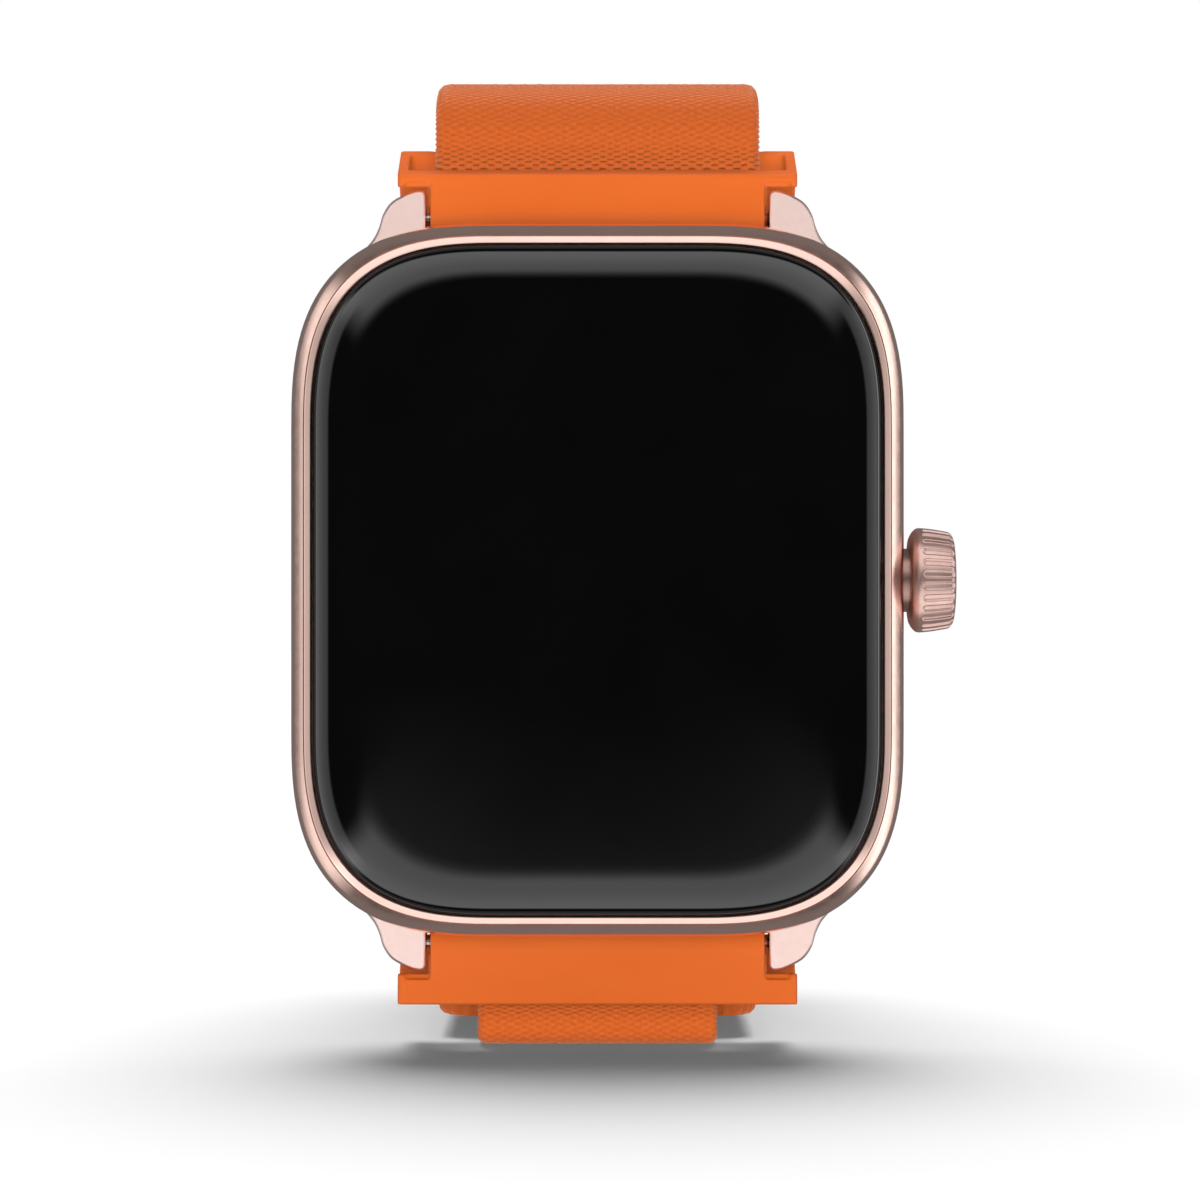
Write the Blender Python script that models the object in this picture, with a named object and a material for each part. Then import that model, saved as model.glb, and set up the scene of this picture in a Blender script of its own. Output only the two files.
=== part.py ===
"""A square GPS running watch with a crown and a woven loop strap on quick-release spring bars.

Every size below is in millimetres, in the watch's own frame: X to the right of the dial,
Y from the glass towards the wrist, Z towards the twelve o'clock side, with the origin in
the middle of the glass. The empty dial_centre carries the whole watch, and lifts it so
that the world origin is the middle of the flat face that the closed strap stands on.
"""

import math

import bmesh
import bpy
from mathutils import Vector

MM = 0.001

# Where the watch stands: the flat of the strap under the case, and its middle.
REST_Y = 19.5
REST_Z = 27.85

# The case outline: straight sides joined by super-elliptic corners.
CASE_HALF_W = 18.08
CASE_HALF_H = 21.04
CORNER_REACH = 12.1
CORNER_SHRINK = 0.74
CORNER_POWER = 2.75
CORNER_STEPS = 9

# Depths of the head, from the glass backwards.
LEDGE_Y = 2.45
FLANGE_Y = 7.65
SEAT_Y = 8.75
BACK_Y = 10.0
GLASS_EDGE = 1.42
GLASS_CURVE = 3.0
GLASS_DROP = 0.9
GLASS_FOOT_Y = 2.05
CAVITY = 2.9
FLANGE = 4.9
COVER_EDGE = 2.85
SCREW_INSET = 3.75

# The lugs and the spring bars that the strap's connectors turn on.
BAR_Y = 6.9
BAR_Z = 21.6
LUG_INNER_X = 10.2
LUG_ROOT_Z = 18.7
LUG_FRONT_Y = 4.6
BARREL_R = 1.75
BARREL_HALF = 9.95
TUBE_R = 0.75
TUBE_BORE_R = 0.48
PIN_R = 0.4
PIN_REACH = 11.5
RELEASE_TRAVEL = 1.4
LEVER_X = 6.4
LEVER_W = 0.7

# The connectors, moulded in one piece each: a barrel, a front wall and a bar for the strap.
WIDE_HALF = 11.93
SLOT_HALF = 11.05
WALL_FRONT_Y = 5.15
WALL_BACK_Y = 6.5
STRAP_BAR_FRONT = 8.9
STRAP_BAR_BACK = 10.1
EAR_BACK_Y = 10.9
UPPER_BAR_LOW = 24.5
LOWER_BAR_HIGH = 24.1
RECESS_R = 2.6

# The strap.
STRAP_HALF_W = 9.7
STRAP_T = 1.4
LAYER_GAP = 0.22
LOOP_STEPS = 3
FOLD_START = 4
FOLD_END = 12
TAIL_HALF_W = 7.15
TAIL_T = 1.1
TAIL_FRONT_Y = 6.75
TAIL_END_Y = 31.0
PATCH_LOW_Z = -27.25
PATCH_START_Y = 21.5
SHOULDER_Y = 12.0

# The crown.
CROWN_Y = 4.75
CROWN_FLUTES = 27
FLUTE_DEPTH = 0.22


# ---------------------------------------------------------------- scene and materials


def clear_scene():
    for obj in list(bpy.data.objects):
        bpy.data.objects.remove(obj, do_unlink=True)


def material(name, colour, roughness, metallic=0.0):
    made = bpy.data.materials.new(name)
    made.use_nodes = True
    shader = made.node_tree.nodes["Principled BSDF"]
    shader.inputs["Base Color"].default_value = (*colour, 1.0)
    shader.inputs["Roughness"].default_value = roughness
    shader.inputs["Metallic"].default_value = metallic
    made.diffuse_color = (*colour, 1.0)
    return made


def make_materials():
    return {
        "rose_metal": material("rose_metal", (0.86, 0.6, 0.53), 0.28, 1.0),
        "black_glass": material("black_glass", (0.004, 0.004, 0.005), 0.05),
        "display": material("display", (0.006, 0.006, 0.008), 0.3),
        "seal": material("seal", (0.03, 0.03, 0.03), 0.8),
        "black_plastic": material("black_plastic", (0.02, 0.02, 0.022), 0.45),
        "battery_foil": material("battery_foil", (0.55, 0.56, 0.58), 0.35, 0.9),
        "circuit_board": material("circuit_board", (0.01, 0.07, 0.03), 0.5),
        "steel": material("steel", (0.62, 0.62, 0.63), 0.25, 1.0),
        "gold": material("gold", (0.9, 0.65, 0.28), 0.25, 1.0),
        "ceramic": material("ceramic", (0.6, 0.52, 0.4), 0.5),
        "led": material("led", (0.5, 0.75, 0.4), 0.2),
        "photodiode": material("photodiode", (0.03, 0.02, 0.05), 0.15),
        "orange_moulding": material("orange_moulding", (0.82, 0.14, 0.02), 0.38),
        "orange_weave": material("orange_weave", (0.7, 0.14, 0.03), 0.85),
        "hook_tape": material("hook_tape", (0.6, 0.12, 0.03), 0.8),
    }


# ---------------------------------------------------------------- placing


class Anchor:
    """An empty at a point of the watch's frame, which pieces and other anchors hang from."""

    def __init__(self, name, point, parent=None):
        self.point = Vector(point)
        self.empty = bpy.data.objects.new(name, None)
        bpy.context.scene.collection.objects.link(self.empty)
        if parent is None:
            self.empty.location = (self.point + Vector((0, -REST_Y, REST_Z))) * MM
        else:
            self.empty.parent = parent.empty
            self.empty.location = (self.point - parent.point) * MM


def piece(name, mesh, finish, parent, pivot=None):
    """The mesh as an object that hangs from an anchor, with its origin at the pivot."""
    origin = parent.point if pivot is None else Vector(pivot)
    for vertex in mesh.verts:
        vertex.co = (vertex.co - origin) * MM
    bmesh.ops.recalc_face_normals(mesh, faces=mesh.faces)
    data = bpy.data.meshes.new(name)
    mesh.to_mesh(data)
    mesh.free()
    data.shade_smooth()
    data.set_sharp_from_angle(angle=math.radians(35))
    made = bpy.data.objects.new(name, data)
    if finish is not None:
        made.data.materials.append(finish)
    bpy.context.scene.collection.objects.link(made)
    made.parent = parent.empty
    made.location = (origin - parent.point) * MM
    return made


def shaped(target, operation, name, mesh, parent):
    """Adds a Boolean to the target, with the mesh as its hidden operand."""
    operand = piece(name, mesh, None, parent)
    operand.hide_render = True
    operand.display_type = "WIRE"
    modifier = target.modifiers.new(name, "BOOLEAN")
    modifier.operation = operation
    modifier.solver = "EXACT"
    modifier.object = operand


# ---------------------------------------------------------------- meshes


def add_ring(mesh, points):
    return [mesh.verts.new(point) for point in points]


def add_loft(mesh, rings, closed=False):
    """Skins a row of rings with equal counts: capped at both ends, or closed on itself."""
    made = [add_ring(mesh, ring) for ring in rings]
    pairs = list(zip(made, made[1:]))
    if closed:
        pairs.append((made[-1], made[0]))
    count = len(made[0])
    for first, second in pairs:
        for index in range(count):
            after = (index + 1) % count
            mesh.faces.new((first[index], first[after], second[after], second[index]))
    if not closed:
        mesh.faces.new(made[0])
        mesh.faces.new(reversed(made[-1]))


def loft(rings, closed=False):
    mesh = bmesh.new()
    add_loft(mesh, rings, closed)
    return mesh


def outline(inset):
    """The case's outline in the XZ plane, moved in by an inset."""
    reach = CORNER_REACH - CORNER_SHRINK * inset
    middle_x = CASE_HALF_W - inset - reach
    middle_z = CASE_HALF_H - inset - reach
    points = []
    for side_x, side_z, start in ((1, 1, 0), (-1, 1, 1), (-1, -1, 0), (1, -1, 1)):
        for step in range(CORNER_STEPS + 1):
            share = step / CORNER_STEPS
            angle = math.radians(90) * (1 - share if start else share)
            x = middle_x + reach * math.cos(angle) ** (2 / CORNER_POWER)
            z = middle_z + reach * math.sin(angle) ** (2 / CORNER_POWER)
            points.append((side_x * x, side_z * z))
    return points


def case_rings(profile):
    """One outline ring for each (inset, depth) of the profile."""
    return [[Vector((x, depth, z)) for x, z in outline(inset)] for inset, depth in profile]


def circle(radius, count):
    angles = [2 * math.pi * step / count for step in range(count)]
    return [(radius * math.cos(angle), radius * math.sin(angle)) for angle in angles]


def turned_rings(profile, axis, centre, count):
    """Rings around the X or the Y axis through the centre, for a profile of (along, radius)."""
    rings = []
    for along, radius in profile:
        ring = []
        for u, v in circle(radius, count):
            if axis == "X":
                ring.append(Vector((along, centre[0] + u, centre[1] + v)))
            else:
                ring.append(Vector((centre[0] + u, along, centre[1] + v)))
        rings.append(ring)
    return rings


def turned(profile, axis, centre, count, closed=False):
    return loft(turned_rings(profile, axis, centre, count), closed)


def cylinder(axis, centre, radius, low, high, count):
    return turned([(low, radius), (high, radius)], axis, centre, count)


def prism(section, low, high):
    """A section in the YZ plane, drawn out along X."""
    rings = [[Vector((x, y, z)) for y, z in section] for x in (low, high)]
    return loft(rings)


def add_box(mesh, low, high):
    corners = ((low[0], low[2]), (high[0], low[2]), (high[0], high[2]), (low[0], high[2]))
    rings = [[Vector((x, y, z)) for x, z in corners] for y in (low[1], high[1])]
    add_loft(mesh, rings)


def box(low, high, bevel=0.0):
    mesh = bmesh.new()
    add_box(mesh, low, high)
    if bevel:
        edges = [edge for edge in mesh.edges if abs(edge.verts[0].co.y - edge.verts[1].co.y) > 0.01]
        bmesh.ops.bevel(mesh, geom=edges, offset=bevel, segments=2, profile=0.5, affect="EDGES")
    return mesh


def rounded_path(corners, steps=4):
    """A polyline with its corners (y, z, radius) rounded into arcs."""
    path = [Vector(corners[0][:2])]
    for before, corner, after in zip(corners, corners[1:], corners[2:]):
        point = Vector(corner[:2])
        inward = (Vector(before[:2]) - point).normalized()
        onward = (Vector(after[:2]) - point).normalized()
        half = math.acos(max(-1.0, min(1.0, inward.dot(onward)))) / 2
        middle = point + (inward + onward).normalized() * corner[2] / math.sin(half)
        start = point + inward * corner[2] / math.tan(half) - middle
        sweep = math.pi - 2 * half
        turn = 1 if inward.x * onward.y - inward.y * onward.x < 0 else -1
        for step in range(steps + 1):
            angle = turn * sweep * step / steps
            cos, sin = math.cos(angle), math.sin(angle)
            path.append(middle + Vector((start.x * cos - start.y * sin, start.x * sin + start.y * cos)))
    path.append(Vector(corners[-1][:2]))
    return path


def smooth_path(points, steps=4):
    """A curve through the points that leaves each one along its neighbours' chord."""
    ends = [Vector(point) for point in points]
    ends = [2 * ends[0] - ends[1], *ends, 2 * ends[-1] - ends[-2]]
    path = []
    for before, first, second, after in zip(ends, ends[1:], ends[2:], ends[3:]):
        for step in range(steps):
            t = step / steps
            pull = (second - before) * t
            bend = (2 * before - 5 * first + 4 * second - after) * t * t
            twist = (3 * first - before - 3 * second + after) * t * t * t
            path.append(first + (pull + bend + twist) / 2)
    path.append(ends[-2])
    return path


def offset_path(path, distance):
    """The path moved sideways, to its left for a positive distance."""
    moved = []
    for index, point in enumerate(path):
        before = path[max(index - 1, 0)]
        after = path[min(index + 1, len(path) - 1)]
        along = (after - before).normalized()
        moved.append((point.x - along.y * distance, point.y + along.x * distance))
    return moved


# ---------------------------------------------------------------- the head


def lug_rings(side_x, side_z):
    """A horn: its outline seen from the front, drawn back with a rounded tip."""
    outer = [(10.2, 23.02), (10.34, 23.2), (10.6, 23.25), (11.6, 22.95), (12.3, 22.5)]
    outer += [(12.75, 21.8), (12.98, 21.0), (13.3, 20.3), (13.85, 19.6), (14.2, 19.1)]
    outer += [(13.4, LUG_ROOT_Z), (LUG_INNER_X, LUG_ROOT_Z)]
    levels = [(LUG_FRONT_Y, 0.86), (4.78, 0.93), (5.2, 0.98), (BAR_Y, 1.0)]
    levels += [(7.8, 0.98), (8.5, 0.88), (8.8, 0.72)]
    rings = []
    for depth, reach in levels:
        ring = []
        for x, z in outer:
            height = LUG_ROOT_Z + (z - LUG_ROOT_Z) * reach
            ring.append(Vector((side_x * x, depth, side_z * height)))
        rings.append(ring)
    return rings


def make_frame(parts, head):
    profile = [(2.3, 9.9), (1.75, 9.3), (1.0, 8.2), (0.4, 6.9), (0.08, 5.6), (0.0, 4.6)]
    profile += [(0.08, 3.3), (0.35, 2.2), (0.72, 1.62), (1.05, 1.38), (1.14, 1.24), (1.32, 1.22)]
    profile += [(1.32, LEDGE_Y), (CAVITY, LEDGE_Y), (CAVITY, FLANGE_Y), (FLANGE, FLANGE_Y)]
    profile += [(FLANGE, SEAT_Y), (2.75, SEAT_Y), (2.75, 9.9)]
    frame = piece("frame", loft(case_rings(profile), closed=True), parts["rose_metal"], head)

    horns = bmesh.new()
    for side_x in (-1, 1):
        for side_z in (-1, 1):
            add_loft(horns, lug_rings(side_x, side_z))
    shaped(frame, "UNION", "horns", horns, head)

    cuts = bmesh.new()
    for side_z in (-1, 1):
        centre = (BAR_Y, side_z * BAR_Z)
        scoop = [(-LUG_INNER_X - 0.04, 2.1), (LUG_INNER_X + 0.04, 2.1)]
        add_loft(cuts, turned_rings(scoop, "X", centre, 28))
    shaped(frame, "DIFFERENCE", "connector_scoops", cuts, head)

    cuts = bmesh.new()
    for side_z in (-1, 1):
        for low, high in ((-11.85, -9.6), (9.6, 11.85)):
            hole = [(low, 0.6), (high, 0.6)]
            add_loft(cuts, turned_rings(hole, "X", (BAR_Y, side_z * BAR_Z), 12))
    for point in screw_points():
        add_loft(cuts, turned_rings([(7.9, 0.62), (9.0, 0.62)], "Y", point, 10))
    shaped(frame, "DIFFERENCE", "small_holes", cuts, head)

    bore = [(14.5, 1.35), (17.35, 1.35), (17.35, 2.05), (19.5, 2.05)]
    shaped(frame, "DIFFERENCE", "crown_bore", turned(bore, "X", (CROWN_Y, 0), 24), head)


def screw_points():
    """The middle of each corner, at the screws' inset."""
    reach = CORNER_REACH - CORNER_SHRINK * SCREW_INSET
    diagonal = reach * math.sqrt(0.5) ** (2 / CORNER_POWER)
    x = CASE_HALF_W - SCREW_INSET - reach + diagonal
    z = CASE_HALF_H - SCREW_INSET - reach + diagonal
    return [(x, z), (-x, z), (-x, -z), (x, -z)]


def make_glass(parts, head):
    profile = [(3.15, 1.25), (2.9, GLASS_FOOT_Y), (GLASS_EDGE, GLASS_FOOT_Y)]
    for step in range(6):
        share = step / 5
        inset = GLASS_EDGE + GLASS_CURVE * share
        profile.append((inset, GLASS_DROP * (1 - share) ** 2.2))
    piece("cover_glass", loft(case_rings(profile)), parts["black_glass"], head)
    panel = case_rings([(3.4, 1.35), (3.4, 2.2)])
    piece("display_panel", loft(panel), parts["display"], head)
    gasket = case_rings([(1.6, 2.13), (2.75, 2.13), (2.75, 2.37), (1.6, 2.37)])
    piece("glass_gasket", loft(gasket, closed=True), parts["seal"], head)


def make_chassis(parts, head):
    rings = case_rings([(3.65, 3.1), (3.65, 7.2), (3.05, 7.2), (3.05, 2.6)])
    chassis = piece("inner_chassis", loft(rings), parts["black_plastic"], head)
    hole = cylinder("X", (CROWN_Y, 0), 1.6, 13.7, 16.0, 16)
    shaped(chassis, "DIFFERENCE", "chassis_crown_hole", hole, head)


def make_electronics(parts, head):
    blocks = {
        "battery": ((-12.6, 3.3, -11.5), (1.2, 6.5, 9.0), 1.0, "battery_foil"),
        "haptic_motor": ((2.6, 3.3, -11.4), (9.8, 6.4, -7.4), 0.6, "steel"),
        "gps_antenna": ((2.6, 3.3, 7.0), (9.2, 5.9, 13.6), 0.3, "ceramic"),
        "shield_can": ((-6.0, 7.6, 8.4), (6.0, 8.35, 13.2), 0.5, "steel"),
        "crown_switch": ((8.2, 3.7, -2.0), (10.5, 5.95, 2.0), 0.3, "black_plastic"),
    }
    for name, (low, high, bevel, finish) in blocks.items():
        piece(name, box(low, high, bevel), parts[finish], head)
    board = case_rings([(3.9, 6.75), (3.9, 7.4)])
    piece("main_board", loft(board), parts["circuit_board"], head)


def make_back(parts, head):
    profile = [(COVER_EDGE, 9.05), (COVER_EDGE, 9.75), (3.1, BACK_Y), (4.6, BACK_Y)]
    cover = piece("back_cover", loft(case_rings(profile)), parts["black_plastic"], head)
    rise = turned([(9.5, 11.6), (BACK_Y + 0.02, 11.6), (10.45, 10.9), (10.45, 7.0)], "Y", (0, 0), 48)
    shaped(cover, "UNION", "sensor_rise", rise, head)
    hole = cylinder("Y", (0, 0), 8.35, 8.0, 12.0, 48)
    shaped(cover, "DIFFERENCE", "sensor_hole", hole, head)
    cuts = bmesh.new()
    for point in screw_points():
        profile = [(8.5, 0.62), (9.5, 0.62), (9.5, 1.1), (11.0, 1.1)]
        add_loft(cuts, turned_rings(profile, "Y", point, 12))
    for side in (-1, 1):
        contact_hole = [(8.5, 0.85), (11.0, 0.85)]
        add_loft(cuts, turned_rings(contact_hole, "Y", (side * 2.2, -14.0), 12))
    shaped(cover, "DIFFERENCE", "cover_holes", cuts, head)

    gasket = case_rings([(4.45, 8.83), (4.8, 8.83), (4.8, 8.97), (4.45, 8.97)])
    piece("back_gasket", loft(gasket, closed=True), parts["seal"], head)
    for number, point in enumerate(screw_points(), 1):
        profile = [(7.98, 0.5), (9.58, 0.5), (9.58, 0.98), (9.98, 0.98)]
        screw = turned(profile, "Y", point, 12)
        pivot = (point[0], SEAT_Y, point[1])
        piece(f"back_screw_{number}", screw, parts["steel"], head, pivot)
    for side, name in ((-1, "charge_contact_left"), (1, "charge_contact_right")):
        profile = [(8.9, 0.72), (9.9, 0.72), (10.06, 0.55)]
        contact = turned(profile, "Y", (side * 2.2, -14.0), 16)
        piece(name, contact, parts["gold"], head)


def make_sensor(parts, head):
    window = [(9.45, 8.22), (10.5, 8.22), (10.72, 7.7), (10.86, 6.2), (10.9, 4.6)]
    piece("sensor_window", turned(window, "Y", (0, 0), 48), parts["black_glass"], head)
    board = turned([(8.45, 7.4), (8.9, 7.4)], "Y", (0, 0), 32)
    piece("sensor_board", board, parts["circuit_board"], head)
    led = box((-1.5, 9.0, -1.5), (1.5, 9.32, 1.5), 0.2)
    piece("sensor_led", led, parts["led"], head)
    for side, name in ((-1, "photodiode_left"), (1, "photodiode_right")):
        diode = box((side * 4.5 - 1.1, 9.0, -1.6), (side * 4.5 + 1.1, 9.32, 1.6), 0.2)
        piece(name, diode, parts["photodiode"], head)


# ---------------------------------------------------------------- the crown


def crown_ring(along, radius, depth):
    """A ring of the crown head: a ridge and a groove for each flute."""
    ring = []
    for step, (y, z) in enumerate(circle(1.0, CROWN_FLUTES * 2)):
        r = radius - (depth if step % 2 else 0.0)
        ring.append(Vector((along, CROWN_Y + y * r, z * r)))
    return ring


def make_crown(parts, head, carriage, spinner):
    profile = [(19.65, 0.82, 0), (17.9, 0.82, 0), (17.9, 1.88, 0), (18.42, 1.88, 0)]
    profile += [(18.46, 2.5, 0), (18.62, 2.9, 0), (18.92, 3.1, 0), (19.3, 3.1, 0)]
    profile += [(19.55, 3.06, FLUTE_DEPTH), (20.75, 2.85, FLUTE_DEPTH)]
    profile += [(20.98, 2.6, FLUTE_DEPTH * 0.6), (21.1, 2.1, 0), (21.18, 1.0, 0)]
    rings = [crown_ring(*level) for level in profile]
    piece("crown_head", loft(rings), parts["rose_metal"], spinner)

    shaft = [(11.8, 0.7), (14.1, 0.7), (14.1, 0.5), (14.5, 0.5), (14.5, 0.7), (15.9, 0.7)]
    shaft += [(15.9, 0.5), (16.5, 0.5), (16.5, 0.7), (19.5, 0.7)]
    piece("crown_shaft", turned(shaft, "X", (CROWN_Y, 0), 16), parts["steel"], spinner)
    ring = [(15.98, 0.56), (15.98, 0.8), (16.42, 0.8), (16.42, 0.56)]
    piece("crown_o_ring", turned(ring, "X", (CROWN_Y, 0), 20, True), parts["seal"], spinner)
    magnet = [(13.0, 0.78), (13.0, 1.05), (13.9, 1.05), (13.9, 0.78)]
    piece("crown_magnet", turned(magnet, "X", (CROWN_Y, 0), 20, True), parts["steel"], spinner)
    piece("crown_clip", clip_mesh(), parts["steel"], spinner)

    tube = [(14.65, 0.88), (14.65, 1.25), (17.25, 1.25), (17.25, 0.88)]
    piece("crown_tube", turned(tube, "X", (CROWN_Y, 0), 20, True), parts["steel"], head)
    low = (10.95, CROWN_Y - 1.1, -1.6)
    high = (12.7, CROWN_Y + 1.1, 1.6)
    block = piece("crown_carriage", box(low, high, 0.0), parts["black_plastic"], carriage)
    seat = cylinder("X", (CROWN_Y, 0), 0.8, 11.5, 14.0, 16)
    shaped(block, "DIFFERENCE", "shaft_seat", seat, carriage)


def clip_mesh():
    """A flat open ring that snaps into the shaft's groove."""
    arc = [math.radians(30 + 300 * step / 16) for step in range(17)]
    edge = [(1.2 * math.cos(angle), 1.2 * math.sin(angle)) for angle in arc]
    edge += [(0.56 * math.cos(angle), 0.56 * math.sin(angle)) for angle in reversed(arc)]
    return prism([(CROWN_Y + y, z) for y, z in edge], 14.16, 14.42)


# ---------------------------------------------------------------- spring bars


def spring_mesh(low, high, side_z):
    """A helix of round wire, from low to high along the bar."""
    turns, around, wire, radius = 8, 7, 0.07, 0.33
    steps = turns * around
    rings = []
    for step in range(steps + 1):
        angle = 2 * math.pi * step / around
        along = low + (high - low) * step / steps
        y, z = math.cos(angle), math.sin(angle)
        ring = []
        for u, v in circle(wire, 4):
            ring.append(Vector((along + v, BAR_Y + y * (radius + u), side_z * BAR_Z + z * (radius + u))))
        rings.append(ring)
    return loft(rings)


def make_spring_bar(parts, place, side_z, strap, pin_anchor):
    centre = (BAR_Y, side_z * BAR_Z)
    sleeve = [(-9.9, TUBE_BORE_R), (-9.9, TUBE_R), (9.9, TUBE_R), (9.9, TUBE_BORE_R)]
    tube_name = f"{place}_bar_tube"
    tube = piece(tube_name, turned(sleeve, "X", centre, 16, True), parts["steel"], strap)
    slot_end = LEVER_X + LEVER_W + 0.2
    slot_start = LEVER_X - RELEASE_TRAVEL - 0.2
    low = (slot_start, BAR_Y, side_z * BAR_Z - 0.42)
    high = (slot_end, BAR_Y + 1.5, side_z * BAR_Z + 0.42)
    shaped(tube, "DIFFERENCE", f"{place}_tube_slot", box(low, high), strap)

    fixed = [(-PIN_REACH, 0.28), (-PIN_REACH + 0.15, PIN_R), (-2.2, PIN_R)]
    piece(f"{place}_fixed_pin", turned(fixed, "X", centre, 12), parts["steel"], strap)
    release = [(6.1, PIN_R), (PIN_REACH - 0.15, PIN_R), (PIN_REACH, 0.28)]
    pin_name = f"{place}_release_pin"
    pin = piece(pin_name, turned(release, "X", centre, 12), parts["steel"], pin_anchor)
    low = (LEVER_X, BAR_Y + 0.1, side_z * BAR_Z - 0.28)
    high = (LEVER_X + LEVER_W, BAR_Y + 2.1, side_z * BAR_Z + 0.28)
    shaped(pin, "UNION", f"{place}_lever", box(low, high), pin_anchor)
    spring = spring_mesh(-2.0, 5.9, side_z)
    piece(f"{place}_bar_spring", spring, parts["steel"], strap)


# ---------------------------------------------------------------- strap connectors


def connector(parts, name, side_z, edge, bar_height, anchor):
    """A moulded end. The edge runs over its top, from the front wall to the bar's back."""
    centre = (BAR_Y, side_z * BAR_Z)
    section = [(WALL_FRONT_Y, BAR_Z - 0.1), *edge, (EAR_BACK_Y, BAR_Z - 0.1)]
    body = prism([(y, side_z * z) for y, z in section], -WIDE_HALF, WIDE_HALF)
    made = piece(name, body, parts["orange_moulding"], anchor)

    ears = bmesh.new()
    for low, high in ((-WIDE_HALF - 1, -BARREL_HALF), (BARREL_HALF, WIDE_HALF + 1)):
        add_loft(ears, turned_rings([(low, RECESS_R), (high, RECESS_R)], "X", centre, 40))
    shaped(made, "DIFFERENCE", f"{name}_lug_recess", ears, anchor)

    within = BARREL_R - 0.05
    void = [(WALL_BACK_Y, 29.0)]
    for step in range(8):
        angle = math.radians(103 - 103 * step / 7)
        void.append((BAR_Y + within * math.cos(angle), BAR_Z + within * math.sin(angle)))
    void += [(BAR_Y + within, 20.5), (12.5, 20.5), (12.5, 29.0), (STRAP_BAR_BACK, 29.0)]
    void += [(STRAP_BAR_BACK, bar_height), (STRAP_BAR_FRONT, bar_height), (STRAP_BAR_FRONT, 29.0)]
    inner_half = BARREL_HALF + 0.02
    passage = prism([(y, side_z * z) for y, z in void], -inner_half, inner_half)
    shaped(made, "DIFFERENCE", f"{name}_strap_passage", passage, anchor)

    barrel = cylinder("X", centre, BARREL_R, -BARREL_HALF, BARREL_HALF, 32)
    shaped(made, "UNION", f"{name}_barrel", barrel, anchor)

    heights = sorted((side_z * (BAR_Z + RECESS_R + 0.05), side_z * 29.0))
    low = (-SLOT_HALF, WALL_BACK_Y + 0.001, heights[0])
    high = (SLOT_HALF, STRAP_BAR_FRONT - 0.001, heights[1])
    shaped(made, "DIFFERENCE", f"{name}_slot", box(low, high), anchor)

    bore = cylinder("X", centre, TUBE_R + 0.15, -14.0, 14.0, 20)
    shaped(made, "DIFFERENCE", f"{name}_bore", bore, anchor)
    low = (LEVER_X - RELEASE_TRAVEL - 0.35, BAR_Y, side_z * BAR_Z - 0.5)
    high = (LEVER_X + LEVER_W + 0.35, BAR_Y + 2.5, side_z * BAR_Z + 0.5)
    shaped(made, "DIFFERENCE", f"{name}_lever_slot", box(low, high), anchor)


def make_connectors(parts, upper, lower):
    upper_edge = [(WALL_FRONT_Y, 21.9), (5.48, 23.95), (5.58, 24.16), (5.85, 24.3), (10.0, 26.05)]
    upper_edge += [(10.4, 26.1), (10.75, 25.9), (EAR_BACK_Y, 25.5)]
    connector(parts, "upper_connector", 1, upper_edge, UPPER_BAR_LOW, upper)
    lower_edge = [(WALL_FRONT_Y, 21.9), (5.55, 25.1), (5.62, 25.24), (5.8, 25.3), (9.9, 25.4)]
    lower_edge += [(10.4, 25.25), (EAR_BACK_Y, 24.7)]
    connector(parts, "lower_connector", -1, lower_edge, LOWER_BAR_HIGH, lower)


# ---------------------------------------------------------------- the strap


def strap_centre_line():
    """From the end folded back inside the loop, round the upper bar and round the wrist."""
    wrap = rounded_path(
        [
            (12.3, 26.8, 0),
            (10.95, 25.6, 0.8),
            (10.95, 23.7, 0.8),
            (7.42, 23.7, 1.2),
            (7.42, 26.3, 0),
        ]
    )
    loop = [(7.5, 27.0), (8.1, 28.1), (9.4, 29.0), (11.4, 29.6), (13.8, 29.9), (16.6, 30.0)]
    loop += [(20.5, 29.95), (26.0, 29.3), (33.0, 27.0), (40.4, 21.6), (46.1, 13.0), (48.1, 2.0)]
    loop += [(46.7, -8.5), (42.5, -17.6), (36.9, -23.4), (31.2, -25.7), (26.5, -25.95)]
    loop += [(19.0, -25.95), (SHOULDER_Y, -25.95)]
    outer = smooth_path(loop, LOOP_STEPS)
    folded = slice(FOLD_START * LOOP_STEPS, FOLD_END * LOOP_STEPS)
    layer = offset_path(outer, -(STRAP_T + LAYER_GAP))[folded]
    return [*[Vector(point) for point in reversed(layer)], *wrap, *outer]


def tail_centre_line():
    """From the shoulder, over the lower bar, down through the slot and back under itself."""
    corners = [
        (11.75, -25.9, 0),
        (10.88, -25.7, 0.6),
        (10.88, -23.36, 0.75),
        (8.7, -23.36, 0.9),
        (7.35, -24.6, 0.7),
        (7.35, -25.3, 0.9),
        (TAIL_FRONT_Y, -26.3, 0.9),
        (TAIL_FRONT_Y, -27.3, 0.7),
        (PATCH_START_Y, -27.3, 0),
    ]
    return rounded_path(corners, 5)


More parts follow.
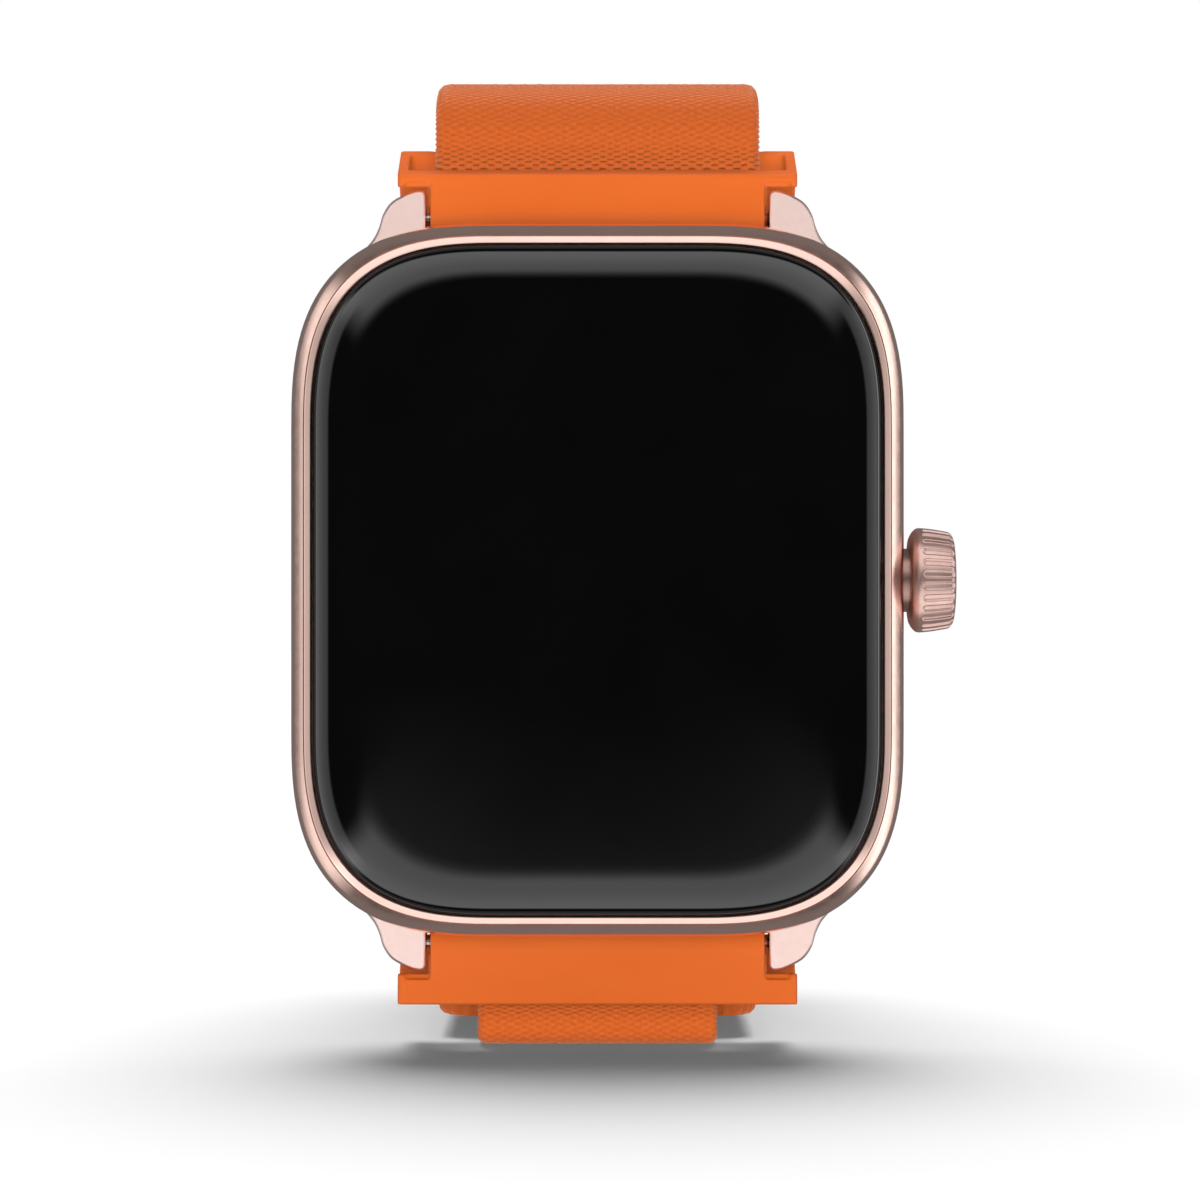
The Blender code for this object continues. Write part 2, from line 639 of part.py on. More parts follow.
def make_strap(parts, upper, lower):
    line = strap_centre_line()
    section = offset_path(line, STRAP_T / 2) + offset_path(line, -STRAP_T / 2)[::-1]
    band = prism(section, -STRAP_HALF_W, STRAP_HALF_W)
    piece("strap_main", band, parts["orange_weave"], upper)

    line = tail_centre_line()
    sides = [offset_path(line, TAIL_T / 2), offset_path(line, -TAIL_T / 2)]
    outer, inner = sorted(sides, key=lambda side: side[-1][1])
    bottom_z = outer[-1][1]
    tail_end = [(TAIL_END_Y, bottom_z), (TAIL_END_Y, PATCH_LOW_Z), (PATCH_START_Y, PATCH_LOW_Z)]
    tail = prism(outer + tail_end + inner[::-1], -TAIL_HALF_W, TAIL_HALF_W)
    piece("strap_tail", tail, parts["orange_weave"], lower)
    low = (-TAIL_HALF_W + 0.3, PATCH_START_Y + 0.15, PATCH_LOW_Z + 0.05)
    high = (TAIL_HALF_W - 0.3, TAIL_END_Y - 0.3, inner[-1][1])
    piece("hook_patch", box(low, high), parts["hook_tape"], lower)


def main():
    clear_scene()
    parts = make_materials()
    head = Anchor("dial_centre", (0, 0, 0))
    carriage = Anchor("crown_press_axis", (12.0, CROWN_Y, 0), head)
    spinner = Anchor("crown_spin_axis", (18.0, CROWN_Y, 0), carriage)
    upper = Anchor("upper_bar_axis", (0, BAR_Y, BAR_Z), head)
    lower = Anchor("lower_bar_axis", (0, BAR_Y, -BAR_Z), head)
    upper_pin = Anchor("upper_release_axis", (8.0, BAR_Y, BAR_Z), upper)
    lower_pin = Anchor("lower_release_axis", (8.0, BAR_Y, -BAR_Z), lower)

    make_frame(parts, head)
    make_glass(parts, head)
    make_chassis(parts, head)
    make_electronics(parts, head)
    make_back(parts, head)
    make_sensor(parts, head)
    make_crown(parts, head, carriage, spinner)
    make_spring_bar(parts, "upper", 1, upper, upper_pin)
    make_spring_bar(parts, "lower", -1, lower, lower_pin)
    make_connectors(parts, upper, lower)
    make_strap(parts, upper, lower)


main()
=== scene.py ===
"""Looks of a square GPS running watch with a crown and a woven loop strap.

Sizes are in millimetres in the watch's own frame: X to the right of the dial, Y from the
glass towards the wrist, Z towards twelve o'clock, with the origin in the middle of the
glass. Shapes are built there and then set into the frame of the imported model.
"""

import math

import bmesh
import bpy
import numpy as np
from mathutils import Matrix, Vector


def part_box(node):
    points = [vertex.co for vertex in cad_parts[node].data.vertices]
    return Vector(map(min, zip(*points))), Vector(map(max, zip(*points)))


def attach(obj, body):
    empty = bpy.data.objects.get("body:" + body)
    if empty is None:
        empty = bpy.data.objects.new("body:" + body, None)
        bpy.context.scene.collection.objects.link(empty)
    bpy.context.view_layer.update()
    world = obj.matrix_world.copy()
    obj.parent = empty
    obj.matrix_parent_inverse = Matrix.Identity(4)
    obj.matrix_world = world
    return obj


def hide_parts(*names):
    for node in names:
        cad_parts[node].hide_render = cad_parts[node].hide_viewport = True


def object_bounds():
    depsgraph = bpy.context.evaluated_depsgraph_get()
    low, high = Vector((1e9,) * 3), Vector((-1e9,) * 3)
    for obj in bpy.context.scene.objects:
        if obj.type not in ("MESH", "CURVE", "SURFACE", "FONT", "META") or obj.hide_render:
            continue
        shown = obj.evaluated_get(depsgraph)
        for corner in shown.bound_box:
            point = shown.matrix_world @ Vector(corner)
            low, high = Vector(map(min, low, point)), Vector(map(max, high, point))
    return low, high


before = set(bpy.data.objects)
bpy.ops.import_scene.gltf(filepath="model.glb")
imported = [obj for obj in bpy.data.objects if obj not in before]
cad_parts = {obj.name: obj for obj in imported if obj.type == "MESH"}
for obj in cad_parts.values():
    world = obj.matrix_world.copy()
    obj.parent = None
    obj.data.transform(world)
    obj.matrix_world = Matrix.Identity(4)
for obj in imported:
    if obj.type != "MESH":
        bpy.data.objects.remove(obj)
cad_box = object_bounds()

MM = 0.001
GLASS_LOW, GLASS_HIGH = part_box("cover_glass")
DIAL = Vector((0.0, GLASS_LOW.y, (GLASS_LOW.z + GLASS_HIGH.z) / 2))
TO_FRAME = Matrix.Translation(DIAL) @ Matrix.Scale(MM, 4)

# The head.
CASE_HALF_W = round((GLASS_HIGH.x - GLASS_LOW.x) / 2 / MM, 3) + 1.42
CASE_HALF_H = round((GLASS_HIGH.z - GLASS_LOW.z) / 2 / MM, 3) + 1.42
CORNER_REACH = 12.1
CORNER_SHRINK = 0.74
CORNER_POWER = 2.75
SCREW_INSET = 3.75

# The spring bars and the mouldings that turn on them.
BAR_Y = 6.9
BAR_Z = 21.6
LUG_INNER_X = 10.2
LUG_ROOT_Z = 18.7
LUG_LEAN = 0.28
BARREL_R = 1.75
BARREL_HALF = 9.95
PIN_R = 0.4
PIN_REACH = 11.5
RELEASE_TRAVEL = 1.4
LEVER_X = 6.4
LEVER_W = 0.7
WIDE_HALF = 11.93
SLOT_HALF = 11.3
SLOT_BACK_Y = 9.4
STEP_Y = 5.62
SHELF_Z = 23.42
SHELF_BACK_Y = 6.0
SHOULDER_X = 10.13
SHOULDER_Y_FRONT = 6.3
WALL_FRONT_Y = 5.15
WALL_BACK_Y = 6.5
STRAP_BAR_FRONT = 8.9
STRAP_BAR_BACK = 10.1
EAR_BACK_Y = 10.9
RECESS_R = 2.6

# The strap.
STRAP_HALF_W = 9.7
STRAP_T = 1.4
LAYER_GAP = 0.22
LOOP_STEPS = 12
FOLD_START = 4
FOLD_END = 12
TAIL_HALF_W = 7.15
TAIL_T = 1.1
TAIL_FRONT_Y = 6.75
TAIL_END_Y = 31.0
PATCH_LOW_Z = -27.25
PATCH_START_Y = 21.5
SHOULDER_Y = 12.0
WEAVE_ACROSS = 0.89
WEAVE_ALONG = 0.32
TAIL_WEAVE_ACROSS = 0.84
TAIL_WEAVE_ALONG = 0.26

# The crown.
CROWN_Y = 4.75
CROWN_NECK_END = 18.42
CROWN_FLUTES = 27
CROWN_GROOVE_START = 19.17
CROWN_GROOVE_HALF = 0.17
CROWN_GROOVE_DEPTH = 0.13

# The camera, and where it stands in front of the dial.
LENS = 123.65
CAMERA_X = 0.15
CAMERA_Y = -240.0
CAMERA_Z = -1.17


# ---------------------------------------------------------------- meshes


def mesh_object(name, points, faces):
    """An object in millimetres with its faces turned outwards."""
    mesh = bpy.data.meshes.new(name)
    mesh.from_pydata(np.asarray(points, float).tolist(), [], faces)
    shape = bmesh.new()
    shape.from_mesh(mesh)
    if shape.calc_volume(signed=True) < 0:
        bmesh.ops.reverse_faces(shape, faces=shape.faces)
    shape.to_mesh(mesh)
    shape.free()
    made = bpy.data.objects.new(name, mesh)
    bpy.context.scene.collection.objects.link(made)
    return made


def skin(name, rings, loop=False):
    """Quads between rings of points. A loop joins the last ring to the first."""
    rings = np.asarray(rings, float)
    count, around = rings.shape[:2]
    index = np.arange(count * around).reshape(count, around)
    near = index if loop else index[:-1]
    far = np.roll(index, -1, 0) if loop else index[1:]
    quads = np.stack([near, np.roll(near, -1, 1), np.roll(far, -1, 1), far], -1)
    faces = [tuple(quad) for quad in quads.reshape(-1, 4).tolist()]
    if not loop:
        faces.append(tuple(index[0][::-1].tolist()))
        faces.append(tuple(index[-1].tolist()))
    return mesh_object(name, rings.reshape(-1, 3), faces)


def apply_modifiers(target):
    graph = bpy.context.evaluated_depsgraph_get()
    mesh = bpy.data.meshes.new_from_object(target.evaluated_get(graph))
    target.modifiers.clear()
    target.data = mesh


def carve(target, operation, *cutters):
    for cutter in cutters:
        modifier = target.modifiers.new("cut", "BOOLEAN")
        modifier.operation = operation
        modifier.solver = "EXACT"
        modifier.object = cutter
        apply_modifiers(target)
        bpy.data.objects.remove(cutter)


def soften(target, voxel, rounds):
    """Rounds every edge of a moulding by remeshing it finely and relaxing it."""
    remesh = target.modifiers.new("remesh", "REMESH")
    remesh.mode = "VOXEL"
    remesh.voxel_size = voxel
    relax = target.modifiers.new("relax", "SMOOTH")
    relax.factor = 0.5
    relax.iterations = rounds
    apply_modifiers(target)


def finish_piece(made, look, body, nodes=(), sharp=32.0):
    """Sets a piece into the model's frame, on its body, in place of its CAD nodes."""
    made.data.transform(TO_FRAME)
    slots = np.zeros(len(made.data.polygons), np.int32)
    made.data.polygons.foreach_get("material_index", slots)
    made.data.materials.clear()
    for material in look if isinstance(look, (list, tuple)) else [look]:
        made.data.materials.append(material)
    made.data.polygons.foreach_set("material_index", slots)
    made.data.shade_smooth()
    made.data.set_sharp_from_angle(angle=math.radians(sharp))
    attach(made, body)
    if nodes:
        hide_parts(*nodes)
    return made


def smooth_path(points, steps=4):
    """A curve through the points that leaves each one along its neighbours' chord."""
    ends = [Vector(point) for point in points]
    ends = [2 * ends[0] - ends[1], *ends, 2 * ends[-1] - ends[-2]]
    path = []
    for before, first, second, after in zip(ends, ends[1:], ends[2:], ends[3:]):
        for step in range(steps):
            t = step / steps
            pull = (second - before) * t
            bend = (2 * before - 5 * first + 4 * second - after) * t * t
            twist = (3 * first - before - 3 * second + after) * t * t * t
            path.append(first + (pull + bend + twist) / 2)
    path.append(ends[-2])
    return path


def rounded_path(corners, steps=10):
    """A polyline with its corners (y, z, radius) rounded into arcs."""
    path = [Vector(corners[0][:2])]
    for before, corner, after in zip(corners, corners[1:], corners[2:]):
        point = Vector(corner[:2])
        inward = (Vector(before[:2]) - point).normalized()
        onward = (Vector(after[:2]) - point).normalized()
        half = math.acos(max(-1.0, min(1.0, inward.dot(onward)))) / 2
        middle = point + (inward + onward).normalized() * corner[2] / math.sin(half)
        start = point + inward * corner[2] / math.tan(half) - middle
        sweep = math.pi - 2 * half
        turn = 1 if inward.x * onward.y - inward.y * onward.x < 0 else -1
        for step in range(steps + 1):
            angle = turn * sweep * step / steps
            cos, sin = math.cos(angle), math.sin(angle)
            arm = Vector((start.x * cos - start.y * sin, start.x * sin + start.y * cos))
            path.append(middle + arm)
    path.append(Vector(corners[-1][:2]))
    return path


def outline(inset, steps=30):
    """The case's outline in the XZ plane, moved in by an inset."""
    reach = CORNER_REACH - CORNER_SHRINK * inset
    middle_x = CASE_HALF_W - inset - reach
    middle_z = CASE_HALF_H - inset - reach
    points = []
    for side_x, side_z, start in ((1, 1, 0), (-1, 1, 1), (-1, -1, 0), (1, -1, 1)):
        for step in range(steps + 1):
            share = step / steps
            angle = math.radians(90) * (1 - share if start else share)
            x = middle_x + reach * max(math.cos(angle), 0.0) ** (2 / CORNER_POWER)
            z = middle_z + reach * max(math.sin(angle), 0.0) ** (2 / CORNER_POWER)
            points.append((side_x * x, side_z * z))
    return points


def case_rings(profile, steps=30):
    return [[(x, depth, z) for x, z in outline(inset, steps)] for inset, depth in profile]


def circle(radius, count):
    angles = np.linspace(0, 2 * math.pi, count, endpoint=False)
    return radius * np.cos(angles), radius * np.sin(angles)


def turned(name, profile, axis, centre, count=64, loop=False):
    """A shape turned around the X or the Y axis through the centre, from (along, radius)."""
    rings = []
    for along, radius in profile:
        u, v = circle(radius, count)
        flat = np.full(count, along)
        if axis == "X":
            rings.append(np.stack([flat, centre[0] + u, centre[1] + v], 1))
        else:
            rings.append(np.stack([centre[0] + u, flat, centre[1] + v], 1))
    return skin(name, rings, loop)


def prism(name, section, low, high):
    return skin(name, [[(x, y, z) for y, z in section] for x in (low, high)])


def block(name, low, high):
    section = [(low[1], low[2]), (high[1], low[2]), (high[1], high[2]), (low[1], high[2])]
    return prism(name, section, low[0], high[0])


# ---------------------------------------------------------------- materials


class Look:
    """A procedural material, built up from its Principled shader."""

    def __init__(self, name, **sockets):
        self.material = bpy.data.materials.new(name)
        self.material.use_nodes = True
        self.tree = self.material.node_tree
        self.shader = self.tree.nodes["Principled BSDF"]
        for key, value in sockets.items():
            self.shader.inputs[key.replace("_", " ")].default_value = value
        self.where = self.tree.nodes.new("ShaderNodeTexCoord").outputs["Object"]
        self.normal = None

    def node(self, kind, links=(), **settings):
        made = self.tree.nodes.new(kind)
        for key, value in settings.items():
            setattr(made, key, value)
        for key, value in links:
            if isinstance(value, bpy.types.NodeSocket):
                self.tree.links.new(value, made.inputs[key])
            else:
                made.inputs[key].default_value = value
        return made

    def math(self, operation, a, b=0.0, c=0.0, clamp=False):
        links = [(0, a), (1, b), (2, c)]
        return self.node("ShaderNodeMath", links, operation=operation, use_clamp=clamp).outputs[0]

    def noise(self, size, detail=3.0, rough=0.55, stretch=None, where=None):
        """Noise with features of that size in millimetres."""
        source = where or self.where
        if stretch:
            links = [("Vector", source), ("Scale", stretch)]
            source = self.node("ShaderNodeMapping", links).outputs[0]
        links = [("Vector", source), ("Scale", 1 / (size * MM)), ("Detail", detail)]
        return self.node("ShaderNodeTexNoise", [*links, ("Roughness", rough)]).outputs["Fac"]

    def span(self, value, low, high, from_low=0.3, from_high=0.7):
        links = [("Value", value), ("From Min", from_low), ("From Max", from_high)]
        links += [("To Min", low), ("To Max", high)]
        return self.node("ShaderNodeMapRange", links).outputs[0]

    def blend(self, share, first, second):
        mixer = self.node("ShaderNodeMix", data_type="RGBA")
        for socket, value in ((0, share), (6, first), (7, second)):
            if isinstance(value, bpy.types.NodeSocket):
                self.tree.links.new(value, mixer.inputs[socket])
            else:
                mixer.inputs[socket].default_value = value if socket == 0 else (*value, 1.0)
        return mixer.outputs[2]

    def colour(self, value):
        self.tree.links.new(value, self.shader.inputs["Base Color"])
        return self

    def rough(self, value):
        self.tree.links.new(value, self.shader.inputs["Roughness"])
        return self

    def bump(self, height, distance, strength=1.0):
        """Adds a bump of that height in millimetres over those already there."""
        links = [("Height", height), ("Distance", distance * MM), ("Strength", strength)]
        if self.normal:
            links.append(("Normal", self.normal))
        self.normal = self.node("ShaderNodeBump", links).outputs[0]
        self.tree.links.new(self.normal, self.shader.inputs["Normal"])
        return self


def mottled(name, first, second, patch, rough, grain, height, **sockets):
    """A surface with soft patches of two colours, uneven gloss and a fine grain."""
    look = Look(name, **sockets)
    look.colour(look.blend(look.span(look.noise(patch), 0, 1), first, second))
    look.rough(look.span(look.noise(grain * 3, 4.0), *rough))
    look.bump(look.noise(grain, 2.0), height)
    return look


def metal_look():
    """Polished rose-gold metal with faint lines of polishing and an uneven gloss."""
    look = Look("rose_metal_polished", Metallic=1.0)
    tones = (0.87, 0.595, 0.515), (0.9, 0.63, 0.55)
    look.colour(look.blend(look.span(look.noise(2.5), 0, 1), *tones))
    look.rough(look.span(look.noise(0.8, 5.0), 0.17, 0.24))
    look.bump(look.noise(0.06, 2.0, stretch=(1.0, 0.12, 1.0)), 0.0012)
    return look.material


def blasted_look():
    """The lugs' faces: the same metal, blasted to a fine satin grain, with a painted highlight that makes
    them lighter and paler than the ring.
    """
    look = Look("rose_metal_satin", Metallic=1.0)
    # Painted highlight: these tones are lighter and paler than the ring's, for the light on the lugs'
    # faces.
    tones = (0.94, 0.7, 0.64), (0.97, 0.735, 0.675)
    look.colour(look.blend(look.span(look.noise(0.5, 4.0), 0, 1), *tones))
    look.rough(look.span(look.noise(0.3, 4.0), 0.32, 0.4))
    look.bump(look.noise(0.09, 3.0), 0.006)
    return look.material


def crown_look():
    """The crown: the same metal, turned, with rings of tool marks, and painted shade on its neck."""
    look = Look("rose_metal_turned", Metallic=1.0)
    tones = (0.8, 0.53, 0.47), (0.86, 0.6, 0.54)
    metal = look.blend(look.span(look.noise(0.7, 4.0), 0, 1), *tones)
    along = look.node("ShaderNodeSeparateXYZ", [("Vector", look.where)]).outputs[0]
    # Painted shade: the neck, between the knob and the case, takes a darker colour than the head.
    head = look.span(along, 0, 1, CROWN_NECK_END * MM, (CROWN_NECK_END + 0.04) * MM)
    look.colour(look.blend(head, (0.5, 0.32, 0.28), metal))
    look.rough(look.span(look.noise(0.4, 4.0), 0.34, 0.42))
    look.bump(look.noise(0.035, 2.0, stretch=(1.0, 0.06, 0.06)), 0.0015)
    return look.material


def glass_look():
    """Black cover glass: very smooth, with the faint unevenness of an oil-repelling coat."""
    look = Look("black_cover_glass", IOR=1.72)
    inks = (0.0008, 0.0008, 0.0009), (0.0012, 0.0012, 0.0013)
    look.colour(look.blend(look.span(look.noise(6.0), 0, 1), *inks))
    look.rough(look.span(look.noise(5.0, 6.0), 0.035, 0.075))
    look.bump(look.noise(4.0, 1.0), 0.0006)
    return look.material


def moulding_look():
    """Soft-touch orange plastic with a spark-eroded grain and slight flow marks."""
    look = Look("orange_soft_plastic", IOR=1.45)
    flow = look.noise(3.5, 5.0, stretch=(0.3, 1.0, 1.0))
    look.colour(look.blend(look.span(flow, 0, 1), (0.74, 0.128, 0.012), (0.78, 0.143, 0.016)))
    look.rough(look.span(look.noise(0.12, 4.0), 0.4, 0.52))
    look.bump(look.noise(0.16, 3.0), 0.004)
    look.bump(look.noise(0.05, 2.0), 0.0015)
    return look.material


def weave_look(name, across, along, low, high, opened):
    """Woven nylon. The yarns follow the cloth's own lengths, u across it and v along it, and
    gaps open between them where the band is bent hard, over that span of v, with painted shade in them."""
    look = Look(name, Sheen_Weight=0.5, Sheen_Roughness=0.4, IOR=1.45)
    look.shader.inputs["Sheen Tint"].default_value = (1.0, 0.6, 0.4, 1.0)
    look.shader.inputs["Specular IOR Level"].default_value = 0.3
    cloth = look.node("ShaderNodeUVMap", uv_map="cloth").outputs[0]
    wander = look.noise(1.1 / MM, 2.0, where=cloth)
    apart = look.node("ShaderNodeSeparateXYZ", [("Vector", cloth)])
    u = look.math("ADD", apart.outputs[0], look.math("MULTIPLY", wander, 0.24))
    v = look.math("ADD", apart.outputs[1], look.math("MULTIPLY", wander, 0.14))
    wave_u = look.math("COSINE", look.math("MULTIPLY", u, 2 * math.pi / across))
    wave_v = look.math("COSINE", look.math("MULTIPLY", v, 2 * math.pi / along))
    knots = look.math("MULTIPLY_ADD", look.math("MULTIPLY", wave_u, wave_v), 0.5, 0.5)
    uneven = look.noise(0.24 / MM, 3.0, where=cloth)
    relief = look.math("MULTIPLY_ADD", uneven, 2.2, -1.1)
    relief = look.math("ADD", knots, relief)
    # Painted shade and painted highlight, with some random unevenness of tone: the yarn colour runs from
    # low in the hollows between crossings to high on the crossings.
    yarns = look.blend(look.span(relief, 0, 1, 0.1, 1.0), low, high)
    start, end = opened
    inside = look.math("SUBTRACT", 1.0, look.span(apart.outputs[1], 0, 1, end - 0.5, end + 0.9))
    inside = look.math("MULTIPLY", inside, look.span(apart.outputs[1], 0, 1, start - 0.5, start))
    rows = look.math("COSINE", look.math("MULTIPLY", v, 4 * math.pi / along))
    row_gap = look.span(rows, 0, 1, 0.25, 0.8)
    lifted = look.math("ADD", knots, look.math("MULTIPLY", uneven, 0.7))
    hollow = look.span(lifted, 1, 0, 0.55, 0.85)
    gap = look.math("MULTIPLY", look.math("MULTIPLY", hollow, row_gap), inside)
    # Painted shade: the opened gaps take a colour of 0.45 times low.
    look.colour(look.blend(gap, yarns, [part * 0.45 for part in low]))
    look.rough(look.span(uneven, 0.68, 0.88))
    fibre = look.noise(0.06 / MM, 3.0, where=cloth, stretch=(1.0, 0.4, 1.0))
    look.bump(relief, 0.045)
    look.bump(fibre, 0.035)
    look.bump(gap, -0.06)
    return look.material


def board_look():
    """Circuit board: green lacquer over copper tracks."""
    look = Look("board_lacquer", IOR=1.5)
    brick = look.node("ShaderNodeTexBrick", [("Vector", look.where), ("Scale", 900.0)])
    tracks = look.span(brick.outputs["Fac"], 0, 1, 0.0, 1.0)
    look.colour(look.blend(tracks, (0.008, 0.07, 0.028), (0.02, 0.12, 0.05)))
    look.rough(look.span(look.noise(0.5, 3.0), 0.3, 0.45))
    look.bump(tracks, 0.02)
    return look.material


def make_looks():
    """Every material of the watch by name."""
    made = {
        "metal": metal_look(),
        "blasted": blasted_look(),
        "turned_metal": crown_look(),
        "glass": glass_look(),
        "moulding": moulding_look(),
        "board": board_look(),
    }
    metallic, partly = {"Metallic": 1.0}, {"Metallic": 0.9}
    plain = [
        ("hooks", (0.55, 0.08, 0.012), (0.7, 0.12, 0.02), 0.6, (0.6, 0.8), 0.12, 0.08, {}),
        ("seal", (0.015, 0.015, 0.016), (0.03, 0.03, 0.031), 0.5, (0.7, 0.9), 0.1, 0.01, {}),
        ("plastic", (0.012, 0.012, 0.013), (0.02, 0.02, 0.021), 1.5, (0.38, 0.5), 0.09, 0.005, {}),
        ("display", (0.004, 0.004, 0.006), (0.008, 0.008, 0.011), 2.0, (0.2, 0.3), 0.2, 0.001, {}),
        ("foil", (0.5, 0.51, 0.53), (0.62, 0.63, 0.65), 1.5, (0.25, 0.45), 0.7, 0.03, partly),
        ("steel", (0.58, 0.58, 0.59), (0.68, 0.68, 0.69), 0.4, (0.16, 0.3), 0.05, 0.002, metallic),
        ("gold", (0.85, 0.6, 0.24), (0.93, 0.7, 0.33), 0.4, (0.18, 0.3), 0.05, 0.002, metallic),
        ("ceramic", (0.55, 0.47, 0.35), (0.65, 0.57, 0.45), 0.6, (0.4, 0.6), 0.15, 0.004, {}),
        ("led", (0.35, 0.6, 0.25), (0.6, 0.8, 0.45), 0.5, (0.1, 0.25), 0.3, 0.003, {}),
        ("photodiode", (0.02, 0.012, 0.035), (0.045, 0.03, 0.07), 0.6, (0.1, 0.2), 0.3, 0.001, {}),
        ("sensor_glass", (0.004, 0.004, 0.006), (0.009, 0.008, 0.012), 1.2, (0.05, 0.1), 4.0, 0.0004, {}),
    ]
    for name, *surface, sockets in plain:
        made[name] = mottled(f"{name}_surface", *surface, **sockets).material
    return made


# ---------------------------------------------------------------- the head


def lug_outline(side_x, side_z):
    """A lug from the front: a straight inner side, a rounded tip and a waisted outer side."""
    outer = [(11.0, 23.2), (11.6, 22.95), (12.3, 22.5), (12.75, 21.8), (12.98, 21.0)]
    outer += [(13.3, 20.3), (13.85, 19.6), (14.2, 19.1)]
    sweep = [tuple(point) for point in smooth_path(outer, 5)]
    tip = [(LUG_INNER_X, 22.9), (10.23, 23.05), (10.32, 23.18), (10.47, 23.26), (10.7, 23.26)]
    side = [(LUG_INNER_X, LUG_ROOT_Z + (22.9 - LUG_ROOT_Z) * k / 8) for k in range(8)]
    points = [*side, *tip, *sweep, (13.4, LUG_ROOT_Z)]
    return [Vector((side_x * x, side_z * z)) for x, z in points]


def inset_outline(points, distance):
    """A closed outline moved inwards."""
    area = sum(a.x * b.y - b.x * a.y for a, b in zip(points, points[1:] + points[:1]))
    turn = 1 if area > 0 else -1
    moved = []
    for before, point, after in zip(points[-1:] + points[:-1], points, points[1:] + points[:1]):
        along = (after - before).normalized()
        moved.append(point + Vector((-along.y, along.x)) * distance * turn)
    return moved


def lug(side_x, side_z):
    """Its face leans back towards the tip, and its edges are chamfered."""
    points = lug_outline(side_x, side_z)
    levels = [(4.2, 0.16, 1.0), (4.25, 0.09, 1.0), (4.33, 0.03, 1.0), (4.45, 0.0, 1.0)]
    levels += [(5.4, 0.0, 0.6), (BAR_Y, 0.0, 0.0), (7.9, 0.0, 0.0), (8.35, 0.12, 0.0)]
    levels += [(8.65, 0.35, 0.0), (8.8, 0.65, 0.0)]
    rings = []
    for depth, inset, lean in levels:
        ring = []
        for point in inset_outline(points, inset):
            back = (abs(point.y) - LUG_ROOT_Z) * LUG_LEAN * lean
            ring.append((point.x, depth + back, point.y))
        rings.append(ring)
    return skin("lug", rings)


def make_frame(looks):
    """The case: a polished ring with a stepped lip, and four satin lugs."""
    wall = [(2.75, 9.84), (2.7, 9.9), (2.35, 9.9), (2.2, 9.84), (1.75, 9.3), (1.35, 8.74)]
    wall += [(1.0, 8.2), (0.66, 7.55), (0.4, 6.9), (0.2, 6.25), (0.08, 5.6), (0.02, 5.1)]
    wall += [(0.0, 4.6), (0.0, 4.0), (0.0, 3.55), (0.012, 3.2), (0.03, 2.9), (0.06, 2.63)]
    wall += [(0.11, 2.44), (0.17, 2.26), (0.25, 2.1), (0.34, 1.993), (0.43, 1.886)]
    wall += [(0.52, 1.786), (0.61, 1.686), (0.7, 1.593), (0.78, 1.51), (0.83, 1.458)]
    wall += [(0.845, 1.5), (0.86, 1.53), (0.875, 1.5), (0.885, 1.463), (0.92, 1.436)]
    wall += [(0.98, 1.4), (1.06, 1.353), (1.14, 1.306), (1.2, 1.271), (1.24, 1.25)]
    wall += [(1.29, 1.26), (1.32, 1.3), (1.32, 1.4), (1.32, 2.45), (2.9, 2.45)]
    wall += [(2.9, 7.65), (4.9, 7.65), (4.9, 8.75), (2.75, 8.75)]
    made = skin("frame_metal", case_rings(wall), loop=True)
    lugs = [lug(side_x, side_z) for side_x in (-1, 1) for side_z in (-1, 1)]
    for shape in (made, *lugs):
        shape.data.materials.append(looks["metal"])
        shape.data.materials.append(looks["blasted"])
    for shape in lugs:
        shape.data.polygons.foreach_set("material_index", [1] * len(shape.data.polygons))
    carve(made, "UNION", *lugs)
    reach = LUG_INNER_X + 0.04
    cutters = []
    for side_z in (-1, 1):
        centre = (BAR_Y, side_z * BAR_Z)
        scoop = [(-reach, 2.1), (reach, 2.1)]
        cutters.append(turned("scoop", scoop, "X", centre, 72))
        for low, high in ((-11.85, -9.6), (9.6, 11.85)):
            cutters.append(turned("hole", [(low, 0.6), (high, 0.6)], "X", centre, 32))
    bore = [(14.5, 1.35), (17.35, 1.35), (17.35, 2.05), (19.5, 2.05)]
    cutters.append(turned("bore", bore, "X", (CROWN_Y, 0), 64))
    carve(made, "DIFFERENCE", *cutters)
    finish_piece(made, [looks["metal"], looks["blasted"]], "head", ["frame"], 24)
    made.visible_diffuse = False


def make_glass(looks):
    """Flat in the middle and rolled down on all four sides, steepest at its rim."""
    rim = [(3.3, 1.3), (2.95, 2.0), (2.9, 2.05), (1.5, 2.05), (1.44, 2.0), (1.42, 1.9)]
    rim += [(1.42, 1.4), (1.43, 1.22), (1.47, 1.06), (1.53, 0.93), (1.61, 0.83), (1.7, 0.745)]
    roll = [(1.82, 0.645), (1.98, 0.53), (2.2, 0.395), (2.45, 0.27), (2.75, 0.165)]
    roll += [(3.1, 0.085), (3.5, 0.035), (3.95, 0.009), (4.5, 0.0)]
    profile = rim + [tuple(point) for point in smooth_path(roll, 3)]
    made = skin("cover_glass_face", case_rings(profile, 40))
    finish_piece(made, looks["glass"], "head", ["cover_glass"], 50)


def screw_points():
    reach = CORNER_REACH - CORNER_SHRINK * SCREW_INSET
    diagonal = reach * math.sqrt(0.5) ** (2 / CORNER_POWER)
    x = CASE_HALF_W - SCREW_INSET - reach + diagonal
    z = CASE_HALF_H - SCREW_INSET - reach + diagonal
    return [(x, z), (-x, z), (-x, -z), (x, -z)]


